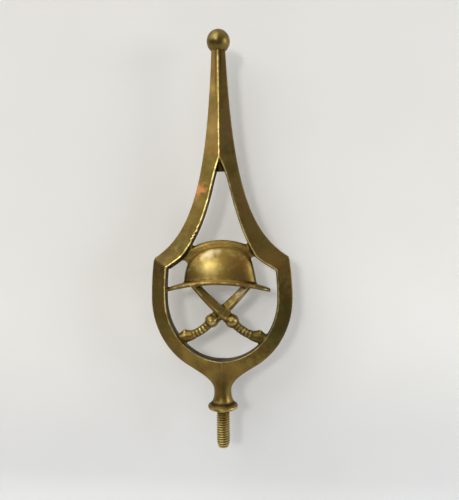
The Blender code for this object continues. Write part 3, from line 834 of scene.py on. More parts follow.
def ring_tree():
    """Rings of wire set along a curve, each square to it."""
    tree, nodes, inputs, output = maker_tree("wire_rings", "Path", wrap_sizes, wrap_counts, "Rings")
    points = nodes.new("GeometryNodeCurveToPoints")
    points.mode = "COUNT"
    hoop = nodes.new("GeometryNodeCurvePrimitiveCircle")
    hoop.inputs["Resolution"].default_value = 48
    section = nodes.new("GeometryNodeCurvePrimitiveCircle")
    section.inputs["Resolution"].default_value = 12
    sweep = nodes.new("GeometryNodeCurveToMesh")
    scale = nodes.new("ShaderNodeCombineXYZ")
    scale.inputs["X"].default_value = 1.0
    scale.inputs["Z"].default_value = 1.0
    place = nodes.new("GeometryNodeInstanceOnPoints")
    real = nodes.new("GeometryNodeRealizeInstances")
    paint = nodes.new("GeometryNodeSetMaterial")
    paint.inputs["Material"].default_value = brass_slot()
    join_up(tree, (inputs, "Path", points, "Curve"), (inputs, "Count", points, "Count"),
            (inputs, "Ring Radius", hoop, "Radius"), (inputs, "Wire Radius", section, "Radius"),
            (inputs, "Flattening", scale, "Y"), (hoop, "Curve", sweep, "Curve"),
            (section, "Curve", sweep, "Profile Curve"), (points, "Points", place, "Points"),
            (points, "Rotation", place, "Rotation"), (sweep, "Mesh", place, "Instance"),
            (scale, "Vector", place, "Scale"), (place, "Instances", real, "Geometry"),
            (real, "Geometry", paint, "Geometry"), (paint, "Geometry", output, "Rings"))
    return tree


def made_by(obj, tree, values):
    """Plain mesh that a Geometry Nodes tree makes on obj with these named values."""
    modifier = obj.modifiers.new(tree.name, "NODES")
    modifier.node_group = tree
    for item in tree.interface.items_tree:
        if item.item_type == "SOCKET" and item.in_out == "INPUT" and item.name in values:
            modifier[item.identifier] = values[item.name]
    obj.update_tag()
    graph = bpy.context.evaluated_depsgraph_get()
    mesh = bpy.data.meshes.new_from_object(obj.evaluated_get(graph))
    obj.modifiers.remove(modifier)
    return mesh


wrap_forms = []
wrap_tree = ring_tree()
for side in (1, -1):
    path = bpy.data.curves.new("wrap_path", "CURVE")
    path.dimensions = "3D"
    spline = path.splines.new("POLY")
    places = [lerp(wrap_first_share, wrap_last_share, i / wrap_path_steps)
              for i in range(wrap_path_steps + 1)]
    spline.points.add(len(places) - 1)
    for point, t in zip(spline.points, places):
        centre, _ = bowed(guard_place, pommel_foot, 2 * grip_bow, t)
        point.co = (side * centre.x, -side * sabre_lap / 2, centre.y, 1.0)
    path_object = bpy.data.objects.new("wrap_path", path)
    bpy.context.scene.collection.objects.link(path_object)
    wrap_forms.append(made_by(path_object, wrap_tree, {**wrap_sizes, **wrap_counts}))
    bpy.data.objects.remove(path_object)


# The casting
# All of the above is one pour of brass. The inner forms are melted together, hollow corners
# fill as sand-cast ones do, and the edges are rubbed round. Then they join the frame.
melt_voxel = 0.00034
corner_fill = 0.0007
skin_voxel = 0.00022
rub_steps = 4
most_triangles = 140000
speck_points = 200
edge_steps = 8
edge_full = 0.00026
hollow_steps = 40
hollow_full = 0.00034
crease_full = 0.00009
# The next five numbers darken faces of the small parts that turn sideways and not upwards: painted
# shade that gives them dark outlines.
painted_side_shade = 0.75
painted_side_shade_turn = 0.42
painted_side_shade_softness = 0.35
unshaded_when_upward = 0.45
upward_softness = 0.3
ridge_rub = 0.55
ridge_rub_reach = 0.0008


def melt(obj, size):
    modifier = obj.modifiers.new("melt", "REMESH")
    modifier.mode = "VOXEL"
    modifier.voxel_size = size
    modifier.adaptivity = 0.0


def rub(obj, steps):
    modifier = obj.modifiers.new("rub", "SMOOTH")
    modifier.factor = 0.5
    modifier.iterations = steps


def swell(obj, amount):
    modifier = obj.modifiers.new("swell", "DISPLACE")
    modifier.mid_level = 0.0
    modifier.strength = amount


def settle(obj):
    """Replace an object's mesh by what its modifiers make of it."""
    graph = bpy.context.evaluated_depsgraph_get()
    mesh = bpy.data.meshes.new_from_object(obj.evaluated_get(graph))
    obj.modifiers.clear()
    obj.data = mesh


def neighbours_average(values, pairs, count):
    """Mean over each point's neighbours of a per-point value."""
    total = np.bincount(pairs[:, 0], values[pairs[:, 1]], count)
    total += np.bincount(pairs[:, 1], values[pairs[:, 0]], count)
    degree = np.bincount(pairs.ravel(), minlength=count)
    return total / np.maximum(degree, 1)


def per_point(items, name):
    """Array of one vector for each item, such as the points' places."""
    values = np.empty(len(items) * 3)
    items.foreach_get(name, values)
    return values.reshape(-1, 3)


def relief(mesh, steps):
    """How far each point stands out of (+) or lies below (-) its smoothed surroundings."""
    count = len(mesh.vertices)
    places = per_point(mesh.vertices, "co")
    pairs = np.empty(len(mesh.edges) * 2, int)
    mesh.edges.foreach_get("vertices", pairs)
    pairs = pairs.reshape(-1, 2)
    settled = places.copy()
    for _ in range(steps):
        for axis in range(3):
            settled[:, axis] = neighbours_average(settled[:, axis], pairs, count)
    return ((places - settled) * per_point(mesh.vertex_normals, "vector")).sum(1)


def drop_specks(mesh):
    """Take out the closed specks that the voxel steps leave inside the metal."""
    bm = bmesh.new()
    bm.from_mesh(mesh)
    unseen = set(bm.verts)
    while unseen:
        island = {unseen.pop()}
        front = list(island)
        while front:
            for edge in front.pop().link_edges:
                found = {vert for vert in edge.verts if vert in unseen}
                unseen -= found
                island |= found
                front += found
        if len(island) < speck_points:
            bmesh.ops.delete(bm, geom=list(island), context="VERTS")
    bm.to_mesh(mesh)
    bm.free()


def keep_mask(mesh, name, values):
    attribute = mesh.attributes.get(name) or mesh.attributes.new(name, "FLOAT", "POINT")
    attribute.data.foreach_set("value", values.astype(np.float32))


def joined(name, meshes):
    """One object that holds all of these meshes as they lie, with their wear masks."""
    places, faces, masks = [], [], {"edge": [], "dirt_and_shade": []}
    for mesh in meshes:
        first = len(places)
        places += [vert.co[:] for vert in mesh.vertices]
        faces += [[first + v for v in face.vertices] for face in mesh.polygons]
        for mask, values in masks.items():
            part = np.zeros(len(mesh.vertices), np.float32)
            if mask in mesh.attributes:
                mesh.attributes[mask].data.foreach_get("value", part)
            values.append(part)
    mesh = bpy.data.meshes.new(name)
    mesh.from_pydata(places, [], faces)
    for mask, values in masks.items():
        keep_mask(mesh, mask, np.concatenate(values))
    obj = bpy.data.objects.new(name, mesh)
    bpy.context.scene.collection.objects.link(obj)
    return obj


inner_group = joined("inner_group", [form.data for form in casting_forms])
melt(inner_group, melt_voxel)
rub(inner_group, 2)
swell(inner_group, corner_fill)
melt(inner_group, melt_voxel)
rub(inner_group, 2)
swell(inner_group, -corner_fill)
settle(inner_group)
inner_group.data = joined("inner_group_wrapped", [inner_group.data] + wrap_forms).data
melt(inner_group, skin_voxel)
rub(inner_group, rub_steps)
settle(inner_group)
triangles = sum(len(face.vertices) - 2 for face in inner_group.data.polygons)
if triangles > most_triangles:
    thinning = inner_group.modifiers.new("thin", "DECIMATE")
    thinning.ratio = most_triangles / triangles
    settle(inner_group)
drop_specks(inner_group.data)
rubbed = np.clip(relief(inner_group.data, edge_steps) / edge_full, 0, 1)
skin_places = per_point(inner_group.data.vertices, "co")
for side in (1, -1):
    from_ridge = np.full(len(skin_places), 1.0)
    for x, height in blade_ridges[side]:
        away = np.hypot(skin_places[:, 0] - x, skin_places[:, 2] - height)
        from_ridge = np.minimum(from_ridge, away)
    on_flank = np.abs(skin_places[:, 1] + side * sabre_lap / 2) > blade_thickness / 4
    near = np.clip(1 - from_ridge / ridge_rub_reach, 0, 1)
    rubbed = np.maximum(rubbed, ridge_rub * near * on_flank)
keep_mask(inner_group.data, "edge", rubbed)
hollows = np.clip(-relief(inner_group.data, hollow_steps) / hollow_full, 0, 1)
creases = np.clip(-relief(inner_group.data, edge_steps) / crease_full, 0, 1)
normals = per_point(inner_group.data.vertex_normals, "vector")
# Faces turned sideways and not upwards are darkened as painted shade.
facing_aside = np.clip((painted_side_shade_turn - np.abs(normals[:, 1])) / painted_side_shade_softness, 0, 1)
not_upward = np.clip((unshaded_when_upward - normals[:, 2]) / upward_softness, 0, 1)
painted_side_shade_mask = painted_side_shade * facing_aside * not_upward
keep_mask(inner_group.data, "dirt_and_shade", np.maximum(np.maximum(hollows, creases), painted_side_shade_mask))

finial = joined("finial_casting", [frame_form.data, ball_form.data, inner_group.data])
for obj in list(bpy.context.scene.collection.objects):
    if obj.name.endswith("_form") or "_form." in obj.name or obj.name.startswith("inner_group"):
        bpy.data.objects.remove(obj)
finial.data.shade_smooth()
finial.data.set_sharp_from_angle(angle=math.radians(40))


# Brass finishes
# Old cast brass: an olive and brown patina in soft blotches over a gold metal that shows bright
# where hands rubbed the edges, dark where dirt stays in the corners, with a fine cast grain.
# Painted shade darkens the small parts' sides, the frame's walls and a band above the collar,
# and a few patches are painted highlights and painted shade.
def shader_group(name, inputs, outputs):
    tree = bpy.data.node_groups.new(name, "ShaderNodeTree")
    kinds = {"float": "NodeSocketFloat", "colour": "NodeSocketColor", "vector": "NodeSocketVector"}
    for socket, kind, value in inputs:
        made = tree.interface.new_socket(socket, in_out="INPUT", socket_type=kinds[kind])
        if value is not None:
            made.default_value = value
    for socket, kind in outputs:
        tree.interface.new_socket(socket, in_out="OUTPUT", socket_type=kinds[kind])
    return tree, tree.nodes.new("NodeGroupInput"), tree.nodes.new("NodeGroupOutput")


def noise(tree, vector, scale, detail=3.0, roughness=0.55):
    node = tree.nodes.new("ShaderNodeTexNoise")
    tree.links.new(vector, node.inputs["Vector"])
    if isinstance(scale, float):
        node.inputs["Scale"].default_value = scale
    else:
        tree.links.new(scale, node.inputs["Scale"])
    node.inputs["Detail"].default_value = detail
    node.inputs["Roughness"].default_value = roughness
    return node.outputs["Fac"]


def maths(tree, operation, a, b=0.0):
    node = tree.nodes.new("ShaderNodeMath")
    node.operation = operation
    for socket, value in zip(node.inputs, (a, b)):
        if isinstance(value, (int, float)):
            socket.default_value = value
        else:
            tree.links.new(value, socket)
    return node.outputs[0]


def ramp(tree, value, low, high, start=0.0, end=1.0):
    node = tree.nodes.new("ShaderNodeMapRange")
    node.interpolation_type = "SMOOTHSTEP"
    tree.links.new(value, node.inputs["Value"])
    for socket, number in (("From Min", low), ("From Max", high),
                           ("To Min", start), ("To Max", end)):
        if isinstance(number, (int, float)):
            node.inputs[socket].default_value = number
        else:
            tree.links.new(number, node.inputs[socket])
    return node.outputs["Result"]


def blend(tree, share, a, b, way="MIX"):
    node = tree.nodes.new("ShaderNodeMix")
    node.data_type = "RGBA"
    node.blend_type = way
    for socket, value in ((0, share), (6, a), (7, b)):
        if isinstance(value, (int, float, tuple)):
            node.inputs[socket].default_value = value
        else:
            tree.links.new(value, node.inputs[socket])
    return node.outputs[2]


def patina_group():
    """Blotches of three tones, and how dull each place is."""
    tree, given, out = shader_group("patina", [
        ("Vector", "vector", None), ("Blotch Scale", "float", 55.0),
        ("Mottle Scale", "float", 420.0), ("Metal", "colour", (0.50, 0.34, 0.11, 1)),
        ("Olive", "colour", (0.2, 0.15, 0.05, 1)),
        ("Brown", "colour", (0.2, 0.11, 0.04, 1))], [("Color", "colour"), ("Dullness", "float")])
    vector = given.outputs["Vector"]
    blotch = noise(tree, vector, given.outputs["Blotch Scale"])
    other = tree.nodes.new("ShaderNodeVectorMath")
    other.operation = "ADD"
    other.inputs[1].default_value = (0.31, 0.17, 0.23)
    tree.links.new(vector, other.inputs[0])
    blotch_two = noise(tree, other.outputs["Vector"], given.outputs["Blotch Scale"], 4.0)
    mottle = noise(tree, vector, given.outputs["Mottle Scale"], 4.0, 0.65)
    tone = blend(tree, ramp(tree, blotch_two, 0.38, 0.62), given.outputs["Olive"],
                 given.outputs["Brown"])
    clean = maths(tree, "MULTIPLY", ramp(tree, blotch, 0.25, 0.80),
                  ramp(tree, mottle, 0.2, 0.8, 0.7, 1.0))
    tree.links.new(blend(tree, clean, tone, given.outputs["Metal"]), out.inputs["Color"])
    tree.links.new(ramp(tree, clean, 0.0, 1.0, 1.0, 0.0), out.inputs["Dullness"])
    return tree


def spot_group():
    """Soft round patch about a place, with a broken edge."""
    tree, given, out = shader_group("spot", [
        ("Vector", "vector", None), ("Place", "vector", None), ("Radius", "float", 0.004),
        ("Breakup", "float", 0.5)], [("Mask", "float")])
    away = tree.nodes.new("ShaderNodeVectorMath")
    away.operation = "DISTANCE"
    tree.links.new(given.outputs["Vector"], away.inputs[0])
    tree.links.new(given.outputs["Place"], away.inputs[1])
    share = maths(tree, "DIVIDE", away.outputs["Value"], given.outputs["Radius"])
    ragged = maths(tree, "MULTIPLY", given.outputs["Breakup"],
                   ramp(tree, noise(tree, given.outputs["Vector"], 330.0), 0.3, 0.7, -1.0, 1.0))
    mask = ramp(tree, maths(tree, "ADD", share, ragged), 0.3, 1.2, 1.0, 0.0)
    tree.links.new(mask, out.inputs["Mask"])
    return tree


def grain_group():
    """Height of a fine cast grain with scattered pits."""
    tree, given, out = shader_group("cast_grain", [
        ("Vector", "vector", None), ("Grain Scale", "float", 1500.0),
        ("Pit Scale", "float", 650.0)], [("Height", "float"), ("Pits", "float")])
    vector = given.outputs["Vector"]
    grain = noise(tree, vector, given.outputs["Grain Scale"], 3.0, 0.6)
    cells = tree.nodes.new("ShaderNodeTexVoronoi")
    tree.links.new(vector, cells.inputs["Vector"])
    tree.links.new(given.outputs["Pit Scale"], cells.inputs["Scale"])
    spots = ramp(tree, cells.outputs["Distance"], 0.06, 0.22, 1.0, 0.0)
    patches = ramp(tree, noise(tree, vector, 130.0), 0.52, 0.66)
    pits = maths(tree, "MULTIPLY", spots, patches)
    tree.links.new(maths(tree, "SUBTRACT", grain, pits), out.inputs["Height"])
    tree.links.new(pits, out.inputs["Pits"])
    return tree


def wear_group():
    """Masks of bright rubbed edges and of dirt and painted shade, both broken up by noise."""
    tree, given, out = shader_group("wear", [
        ("Vector", "vector", None), ("Edge", "float", 0.0), ("Dirt And Shade", "float", 0.0),
        ("Breakup Scale", "float", 260.0)], [("Rubbed", "float"), ("Dirt And Shade Share", "float")])
    breakup = ramp(tree, noise(tree, given.outputs["Vector"], given.outputs["Breakup Scale"]),
                   0.3, 0.7, -0.14, 0.14)
    rubbed = ramp(tree, maths(tree, "ADD", given.outputs["Edge"], breakup), 0.22, 0.80)
    dirt_and_shade_share = ramp(tree, maths(tree, "ADD", given.outputs["Dirt And Shade"], breakup), 0.15, 0.9)
    tree.links.new(rubbed, out.inputs["Rubbed"])
    tree.links.new(dirt_and_shade_share, out.inputs["Dirt And Shade Share"])
    return tree


dirt_in_pits = 0.7
smoother_if_rubbed = 0.08
rougher_in_dirt_and_shade = 0.18
patina = patina_group()
cast_grain = grain_group()
wear = wear_group()
spot = spot_group()


def place_group(tree, group, values, vector):
    node = tree.nodes.new("ShaderNodeGroup")
    node.node_tree = group
    tree.links.new(vector, node.inputs["Vector"])
    for socket, value in values.items():
        if isinstance(value, (float, tuple)):
            node.inputs[socket].default_value = value
        else:
            tree.links.new(value, node.inputs[socket])
    return node


def brass_finish(material, metal, olive, brown, rubbed_metal, dirt_and_shade_colour, finish, spots=()):
    """Fill a material with the worn brass look.

    finish holds its numbers. Each spot is a place, a radius, a strength, how ragged it is, and
    its colour. Spots are patches that differ from the metal round them: most are rubbed or
    stained, the ones on the crown and the glint on the ball are painted highlights and painted
    light, and the ring's lower right carries painted shade.
    """
    material.use_nodes = True
    tree = material.node_tree
    shader = tree.nodes["Principled BSDF"]
    vector = tree.nodes.new("ShaderNodeTexCoord").outputs["Object"]
    masks = {}
    for name in ("edge", "dirt_and_shade"):
        masks[name] = tree.nodes.new("ShaderNodeAttribute")
        masks[name].attribute_name = name
    tones = place_group(tree, patina, {
        "Metal": metal, "Olive": olive, "Brown": brown, "Blotch Scale": finish["blotch"],
        "Mottle Scale": finish["mottle"]}, vector)
    grain = place_group(tree, cast_grain, {}, vector)
    worn = place_group(tree, wear, {
        "Edge": masks["edge"].outputs["Fac"], "Dirt And Shade": masks["dirt_and_shade"].outputs["Fac"]}, vector)
    rubbed = maths(tree, "MULTIPLY", worn.outputs["Rubbed"], finish["rubbed"])
    dirt_and_shade_share = maths(tree, "MULTIPLY", worn.outputs["Dirt And Shade Share"], finish["dirt_and_shade_share"])
    colour = tones.outputs["Color"]
    for place, radius, strength, breakup, tint in spots:
        patch = place_group(tree, spot, {
            "Place": place, "Radius": radius, "Breakup": breakup}, vector)
        share = maths(tree, "MULTIPLY", patch.outputs["Mask"], strength)
        colour = blend(tree, share, colour, tint)
    colour = blend(tree, rubbed, colour, rubbed_metal)
    colour = blend(tree, dirt_and_shade_share, colour, dirt_and_shade_colour)
    in_pits = maths(tree, "MULTIPLY", grain.outputs["Pits"], dirt_in_pits)
    colour = blend(tree, in_pits, colour, dirt_and_shade_colour)
    rough = ramp(tree, tones.outputs["Dullness"], 0.0, 1.0,
                 finish["clean_rough"], finish["dull_rough"])
    rough = maths(tree, "SUBTRACT", rough, maths(tree, "MULTIPLY", rubbed, smoother_if_rubbed))
    rough = maths(tree, "ADD", rough, maths(tree, "MULTIPLY", dirt_and_shade_share, rougher_in_dirt_and_shade))
    bump = tree.nodes.new("ShaderNodeBump")
    bump.inputs["Distance"].default_value = finish["grain_depth"]
    bump.inputs["Strength"].default_value = finish["grain_strength"]
    tree.links.new(grain.outputs["Height"], bump.inputs["Height"])
    tree.links.new(colour, shader.inputs["Base Color"])
    tree.links.new(rough, shader.inputs["Roughness"])
    tree.links.new(bump.outputs["Normal"], shader.inputs["Normal"])
    shader.inputs["Metallic"].default_value = 1.0


aged_brass = brass_slot()
copper_rub = (-0.0125, -0.0045, 0.1300)
# The glint on the ball is a painted highlight.
ball_painted_highlight = (-0.0010, -0.0064, 0.2186)
ball_dark_side = (-0.0050, -0.0045, 0.2200)
stem_top_brown = (0.0000, -0.0030, 0.2020)
stem_right_brown = (0.0070, -0.0030, 0.1650)
right_arm_brown = (0.0190, -0.0030, 0.1250)
# The wide tone over the crown is warmer, polished brass and also painted light. The pale spot on
# the crown's front and the three along its shoulder are painted highlights.
crown_tone_and_painted_light = (0.0000, -0.0080, 0.0850)
crown_painted_highlight = (-0.0072, -0.0072, 0.0842)
crown_shoulder_painted_highlight_low = (-0.0102, -0.0048, 0.0899)
crown_shoulder_painted_highlight_middle = (-0.0062, -0.0048, 0.0918)
crown_shoulder_painted_highlight_high = (-0.0015, -0.0048, 0.0930)
crown_warm_patch = (0.0120, -0.0070, 0.0860)
rear_blade_wear = (0.0100, 0.0010, 0.0690)
# The large dark patch on the ring's lower right is darker patina and painted shade.
ring_patina_and_painted_shade = (0.0350, -0.0030, 0.0470)
shoulder_dark_patch = (-0.0350, -0.0030, 0.0900)
left_arm_dark_patch = (-0.0270, -0.0030, 0.1020)
brass_finish(aged_brass, metal=(0.298, 0.205, 0.054, 1), olive=(0.120, 0.096, 0.024, 1),
             brown=(0.175, 0.092, 0.026, 1), rubbed_metal=(1.0, 0.80, 0.28, 1),
             dirt_and_shade_colour=(0.022, 0.016, 0.007, 1),
             finish={"blotch": 95.0, "mottle": 420.0, "rubbed": 1.0, "dirt_and_shade_share": 0.9,
                     "clean_rough": 0.34, "dull_rough": 0.42, "grain_depth": 0.00012,
                     "grain_strength": 0.35},
             spots=((copper_rub, 0.0048, 0.85, 0.5, (0.62, 0.27, 0.10, 1)),
                    (ball_painted_highlight, 0.0022, 0.85, 0.7, (0.66, 0.53, 0.20, 1)),
                    (ball_dark_side, 0.0062, 0.55, 0.5, (0.110, 0.088, 0.036, 1)),
                    (stem_top_brown, 0.0150, 0.60, 0.4, (0.150, 0.092, 0.034, 1)),
                    (stem_right_brown, 0.0150, 0.55, 0.6, (0.230, 0.140, 0.062, 1)),
                    (right_arm_brown, 0.0150, 0.50, 0.6, (0.230, 0.140, 0.062, 1)),
                    (crown_tone_and_painted_light, 0.0200, 0.60, 0.1, (0.31, 0.196, 0.044, 1)),
                    (crown_warm_patch, 0.0080, 0.60, 0.3, (0.32, 0.150, 0.040, 1)),
                    (crown_painted_highlight, 0.0080, 0.75, 0.15, (0.50, 0.385, 0.135, 1)),
                    (crown_shoulder_painted_highlight_low, 0.0028, 0.45, 0.1, (0.62, 0.52, 0.32, 1)),
                    (crown_shoulder_painted_highlight_middle, 0.0034, 0.60, 0.1, (0.72, 0.62, 0.42, 1)),
                    (crown_shoulder_painted_highlight_high, 0.0028, 0.40, 0.1, (0.60, 0.50, 0.30, 1)),
                    (rear_blade_wear, 0.0060, 0.80, 0.6, (0.52, 0.44, 0.26, 1)),
                    (ring_patina_and_painted_shade, 0.0300, 0.60, 0.3, (0.062, 0.052, 0.014, 1)),
                    (shoulder_dark_patch, 0.0130, 0.62, 0.4, (0.080, 0.063, 0.028, 1)),
                    (left_arm_dark_patch, 0.0120, 0.50, 0.4, (0.100, 0.080, 0.030, 1))))
finial.data.materials.clear()
finial.data.materials.append(aged_brass)
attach(finial, "root")
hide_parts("finial")


# Threaded stud
# The bottom of the casting, turned down and cut with a 5/16 inch thread of 18 turns to the inch,
# cleaner and brighter than the rest because the pole's cap covers it.
stud_diameter = 0.0079375
stud_length = 0.0228
stud_sunk = 0.0012
thread_pitch = 0.0254 / 18
thread_depth = 0.00082
thread_start = 0.0010
thread_run_out = 0.0009
stud_tip_diameter = 0.0058
stud_tip_taper = 0.0032
rows_per_turn = 20
stud_columns = 96
stud_sizes = {"Diameter": stud_diameter, "Depth": thread_depth, "Pitch": thread_pitch,
              "Length": stud_length, "Sunk": stud_sunk, "Plain Length": thread_start,
              "Run Out": thread_run_out, "Tip Diameter": stud_tip_diameter,
              "Tip Taper": stud_tip_taper}
stud_counts = {"Rows": round((stud_length + stud_sunk) / thread_pitch * rows_per_turn),
               "Columns": stud_columns}


def thread_tree():
    """Round bar with a single-start right-hand V thread and a tapered tip."""
    tree, nodes, inputs, output = maker_tree("thread", "Start", stud_sizes, stud_counts, "Stud")
    links = tree.links
    size = inputs.outputs

    def number(operation, *values):
        node = nodes.new("ShaderNodeMath")
        node.operation = operation
        for socket, value in zip(node.inputs, values):
            if isinstance(value, (int, float)):
                socket.default_value = value
            else:
                links.new(value, socket)
        return node.outputs[0]

    def kept_within_one(value):
        return number("MINIMUM", number("MAXIMUM", value, 0.0), 1.0)

    bar = nodes.new("GeometryNodeMeshCylinder")
    bar.fill_type = "NGON"
    whole = number("ADD", size["Length"], size["Sunk"])
    links.new(size["Columns"], bar.inputs["Vertices"])
    links.new(size["Rows"], bar.inputs["Side Segments"])
    links.new(number("MULTIPLY", size["Diameter"], 0.5), bar.inputs["Radius"])
    links.new(whole, bar.inputs["Depth"])
    place = nodes.new("ShaderNodeSeparateXYZ")
    links.new(nodes.new("GeometryNodeInputPosition").outputs["Position"], place.inputs["Vector"])
    x, y, z = place.outputs
    height = number("SUBTRACT", z, number("SUBTRACT", number("MULTIPLY", whole, 0.5), size["Sunk"]))
    turn = number("DIVIDE", number("ARCTAN2", y, x), 2 * math.pi)
    below = number("SUBTRACT", number("MULTIPLY", height, -1.0), size["Plain Length"])
    phase = number("FRACT", number("SUBTRACT", number("MULTIPLY", number(
        "DIVIDE", below, size["Pitch"]), -1.0), turn))
    crest = number("MULTIPLY", number("ABSOLUTE", number("SUBTRACT", phase, 0.5)), 2.0)
    cut = number("MULTIPLY", number("SUBTRACT", 1.0, crest),
                 kept_within_one(number("DIVIDE", below, size["Run Out"])))
    radius = number("SUBTRACT", number("MULTIPLY", size["Diameter"], 0.5),
                    number("MULTIPLY", cut, size["Depth"]))
    past = kept_within_one(number("ADD", number("DIVIDE", number("SUBTRACT", number(
        "MULTIPLY", height, -1.0), size["Length"]), size["Tip Taper"]), 1.0))
    narrowing = number("MULTIPLY", number("SUBTRACT", size["Diameter"], size["Tip Diameter"]), 0.5)
    limit = number("SUBTRACT", number("MULTIPLY", size["Diameter"], 0.5),
                   number("MULTIPLY", narrowing, past))
    radius = number("MINIMUM", radius, limit)
    angle = number("MULTIPLY", turn, 2 * math.pi)
    spot = nodes.new("ShaderNodeCombineXYZ")
    links.new(number("MULTIPLY", radius, number("COSINE", angle)), spot.inputs["X"])
    links.new(number("MULTIPLY", radius, number("SINE", angle)), spot.inputs["Y"])
    links.new(height, spot.inputs["Z"])
    mark_edge = nodes.new("GeometryNodeStoreNamedAttribute")
    mark_edge.inputs["Name"].default_value = "edge"
    links.new(number("POWER", crest, 3.0), mark_edge.inputs["Value"])
    mark_dirt_and_shade = nodes.new("GeometryNodeStoreNamedAttribute")
    mark_dirt_and_shade.inputs["Name"].default_value = "dirt_and_shade"
    links.new(number("POWER", cut, 2.0), mark_dirt_and_shade.inputs["Value"])
    cutting = nodes.new("GeometryNodeSetPosition")
    real = nodes.new("GeometryNodeRealizeInstances")
    paint = nodes.new("GeometryNodeSetMaterial")
    paint.inputs["Material"].default_value = stud_brass
    join_up(tree, (bar, "Mesh", mark_edge, "Geometry"),
            (mark_edge, "Geometry", mark_dirt_and_shade, "Geometry"),
            (mark_dirt_and_shade, "Geometry", cutting, "Geometry"), (spot, "Vector", cutting, "Position"),
            (cutting, "Geometry", real, "Geometry"), (real, "Geometry", paint, "Geometry"),
            (paint, "Geometry", output, "Stud"))
    return tree


stud_brass = bpy.data.materials.new("stud_brass")
brass_finish(stud_brass, metal=(0.42, 0.33, 0.10, 1), olive=(0.27, 0.21, 0.055, 1),
             brown=(0.29, 0.19, 0.05, 1), rubbed_metal=(0.62, 0.50, 0.24, 1),
             dirt_and_shade_colour=(0.09, 0.065, 0.02, 1),
             finish={"blotch": 150.0, "mottle": 700.0, "rubbed": 0.8, "dirt_and_shade_share": 0.7,
                     "clean_rough": 0.24, "dull_rough": 0.36, "grain_depth": 0.00006,
                     "grain_strength": 0.2})
stud = bpy.data.objects.new("threaded_stud", bpy.data.meshes.new("threaded_stud"))
bpy.context.scene.collection.objects.link(stud)
stud.data = made_by(stud, thread_tree(), {**stud_sizes, **stud_counts})
stud.data.shade_smooth()
stud.data.set_sharp_from_angle(angle=math.radians(50))
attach(stud, "root")


# Sheet and floor
# A large sheet of pale paper hangs a little behind the finial, curves forward well below it and
# lies flat as the floor. It can't be seen from behind, so the finial's back shows too.
sheet_behind = 0.021
sheet_bend_radius = 0.035
floor_height = -0.085
sheet_half_width = 0.9
sheet_height = 0.75
sheet_forward = 0.24
bend_steps = 16

sheet_profile = [(sheet_behind, sheet_height)]
for i in range(bend_steps + 1):
    angle = math.pi / 2 * i / bend_steps
    sheet_profile.append((sheet_behind - sheet_bend_radius * (1 - math.cos(angle)),
                          floor_height + sheet_bend_radius * (1 - math.sin(angle))))
sheet_profile.append((-sheet_forward, floor_height))
sheet_bm = bmesh.new()
sheet_rows = [[sheet_bm.verts.new((x, y, z)) for y, z in sheet_profile]
              for x in (-sheet_half_width, sheet_half_width)]
for i in range(len(sheet_profile) - 1):
    sheet_bm.faces.new((sheet_rows[0][i], sheet_rows[0][i + 1],
                        sheet_rows[1][i + 1], sheet_rows[1][i]))
sheet_mesh = bpy.data.meshes.new("paper_sheet")
sheet_bm.to_mesh(sheet_mesh)
sheet_bm.free()
sheet_mesh.shade_smooth()
sheet = bpy.data.objects.new("paper_sheet", sheet_mesh)
bpy.context.scene.collection.objects.link(sheet)

paper = bpy.data.materials.new("paper")
paper.use_nodes = True
paper_tree = paper.node_tree
paper_shader = paper_tree.nodes["Principled BSDF"]
paper_shader.inputs["Roughness"].default_value = 0.9
paper_shader.inputs["Specular IOR Level"].default_value = 0.1
paper_vector = paper_tree.nodes.new("ShaderNodeTexCoord").outputs["Object"]
paper_cloud = ramp(paper_tree, noise(paper_tree, paper_vector, 9.0), 0.3, 0.7)
paper_high = blend(paper_tree, paper_cloud, (0.950, 0.940, 0.915, 1), (0.975, 0.97, 0.945, 1))
paper_low = blend(paper_tree, paper_cloud, (0.74, 0.745, 0.755, 1), (0.77, 0.775, 0.785, 1))
paper_parts = paper_tree.nodes.new("ShaderNodeSeparateXYZ")
paper_tree.links.new(paper_vector, paper_parts.inputs["Vector"])
paper_rise = ramp(paper_tree, paper_parts.outputs["Z"], -0.06, 0.07)
paper_colour = blend(paper_tree, paper_rise, paper_low, paper_high)
paper_tree.links.new(paper_colour, paper_shader.inputs["Base Color"])
clear = paper_tree.nodes.new("ShaderNodeBsdfTransparent")
side_mix = paper_tree.nodes.new("ShaderNodeMixShader")
behind = paper_tree.nodes.new("ShaderNodeNewGeometry")
paper_tree.links.new(behind.outputs["Backfacing"], side_mix.inputs["Fac"])
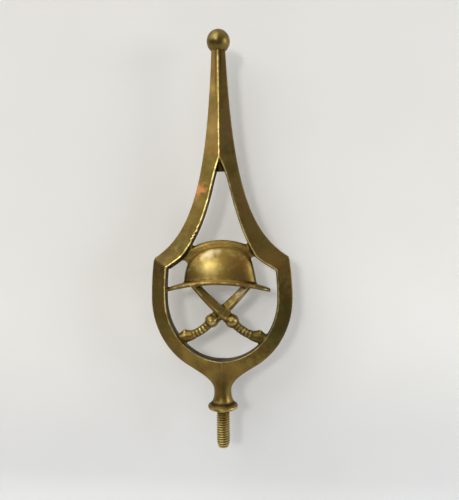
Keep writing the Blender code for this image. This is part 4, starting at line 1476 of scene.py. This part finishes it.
paper_tree.links.new(paper_shader.outputs["BSDF"], side_mix.inputs[1])
paper_tree.links.new(clear.outputs["BSDF"], side_mix.inputs[2])
paper_surface = paper_tree.nodes["Material Output"].inputs["Surface"]
paper_tree.links.new(side_mix.outputs["Shader"], paper_surface)
sheet_mesh.materials.append(paper)


# Light
# A broad window on the upper left, a small far one nearly in front that gives the crown its
# highlight, and a weak cool one on the right. The room is pale, and brighter overhead.
def window(name, place, aim, width, height, power, colour):
    data = bpy.data.lights.new(name, "AREA")
    data.shape = "RECTANGLE"
    data.size = width
    data.size_y = height
    data.energy = power
    data.color = colour
    lamp = bpy.data.objects.new(name, data)
    lamp.location = place
    lamp.rotation_euler = (Vector(aim) - Vector(place)).to_track_quat("-Z", "Y").to_euler()
    bpy.context.scene.collection.objects.link(lamp)


bpy.context.scene.view_settings.view_transform = "Standard"
middle_of_finial = (0.0, 0.0, 0.09)
window("window_left", (-0.80, -0.42, 1.05), middle_of_finial, 1.50, 1.50, 11.0,
       (1.0, 0.975, 0.925))
window("window_front", (-0.42, -1.40, 0.45), middle_of_finial, 0.24, 0.24, 4.2, (1.0, 0.97, 0.91))
window("window_right", (0.90, -0.30, 0.16), middle_of_finial, 0.35, 0.35, 3.0, (0.92, 0.96, 1.0))

room = bpy.data.worlds.new("room")
bpy.context.scene.world = room
room.use_nodes = True
room_tree = room.node_tree
room_light = room_tree.nodes["Background"]
room_light.inputs["Strength"].default_value = 0.33
room_way = room_tree.nodes.new("ShaderNodeTexCoord").outputs["Generated"]
room_parts = room_tree.nodes.new("ShaderNodeSeparateXYZ")
room_tree.links.new(room_way, room_parts.inputs["Vector"])
room_up = ramp(room_tree, room_parts.outputs["Z"], 0.10, 0.85)
room_across = ramp(room_tree, room_parts.outputs["X"], -0.8, 0.7)
room_walls = blend(room_tree, room_across, (0.34, 0.335, 0.31, 1), (0.36, 0.375, 0.405, 1))
room_tree.links.new(blend(room_tree, room_up, room_walls, (2.3, 2.28, 2.22, 1)),
                    room_light.inputs["Color"])
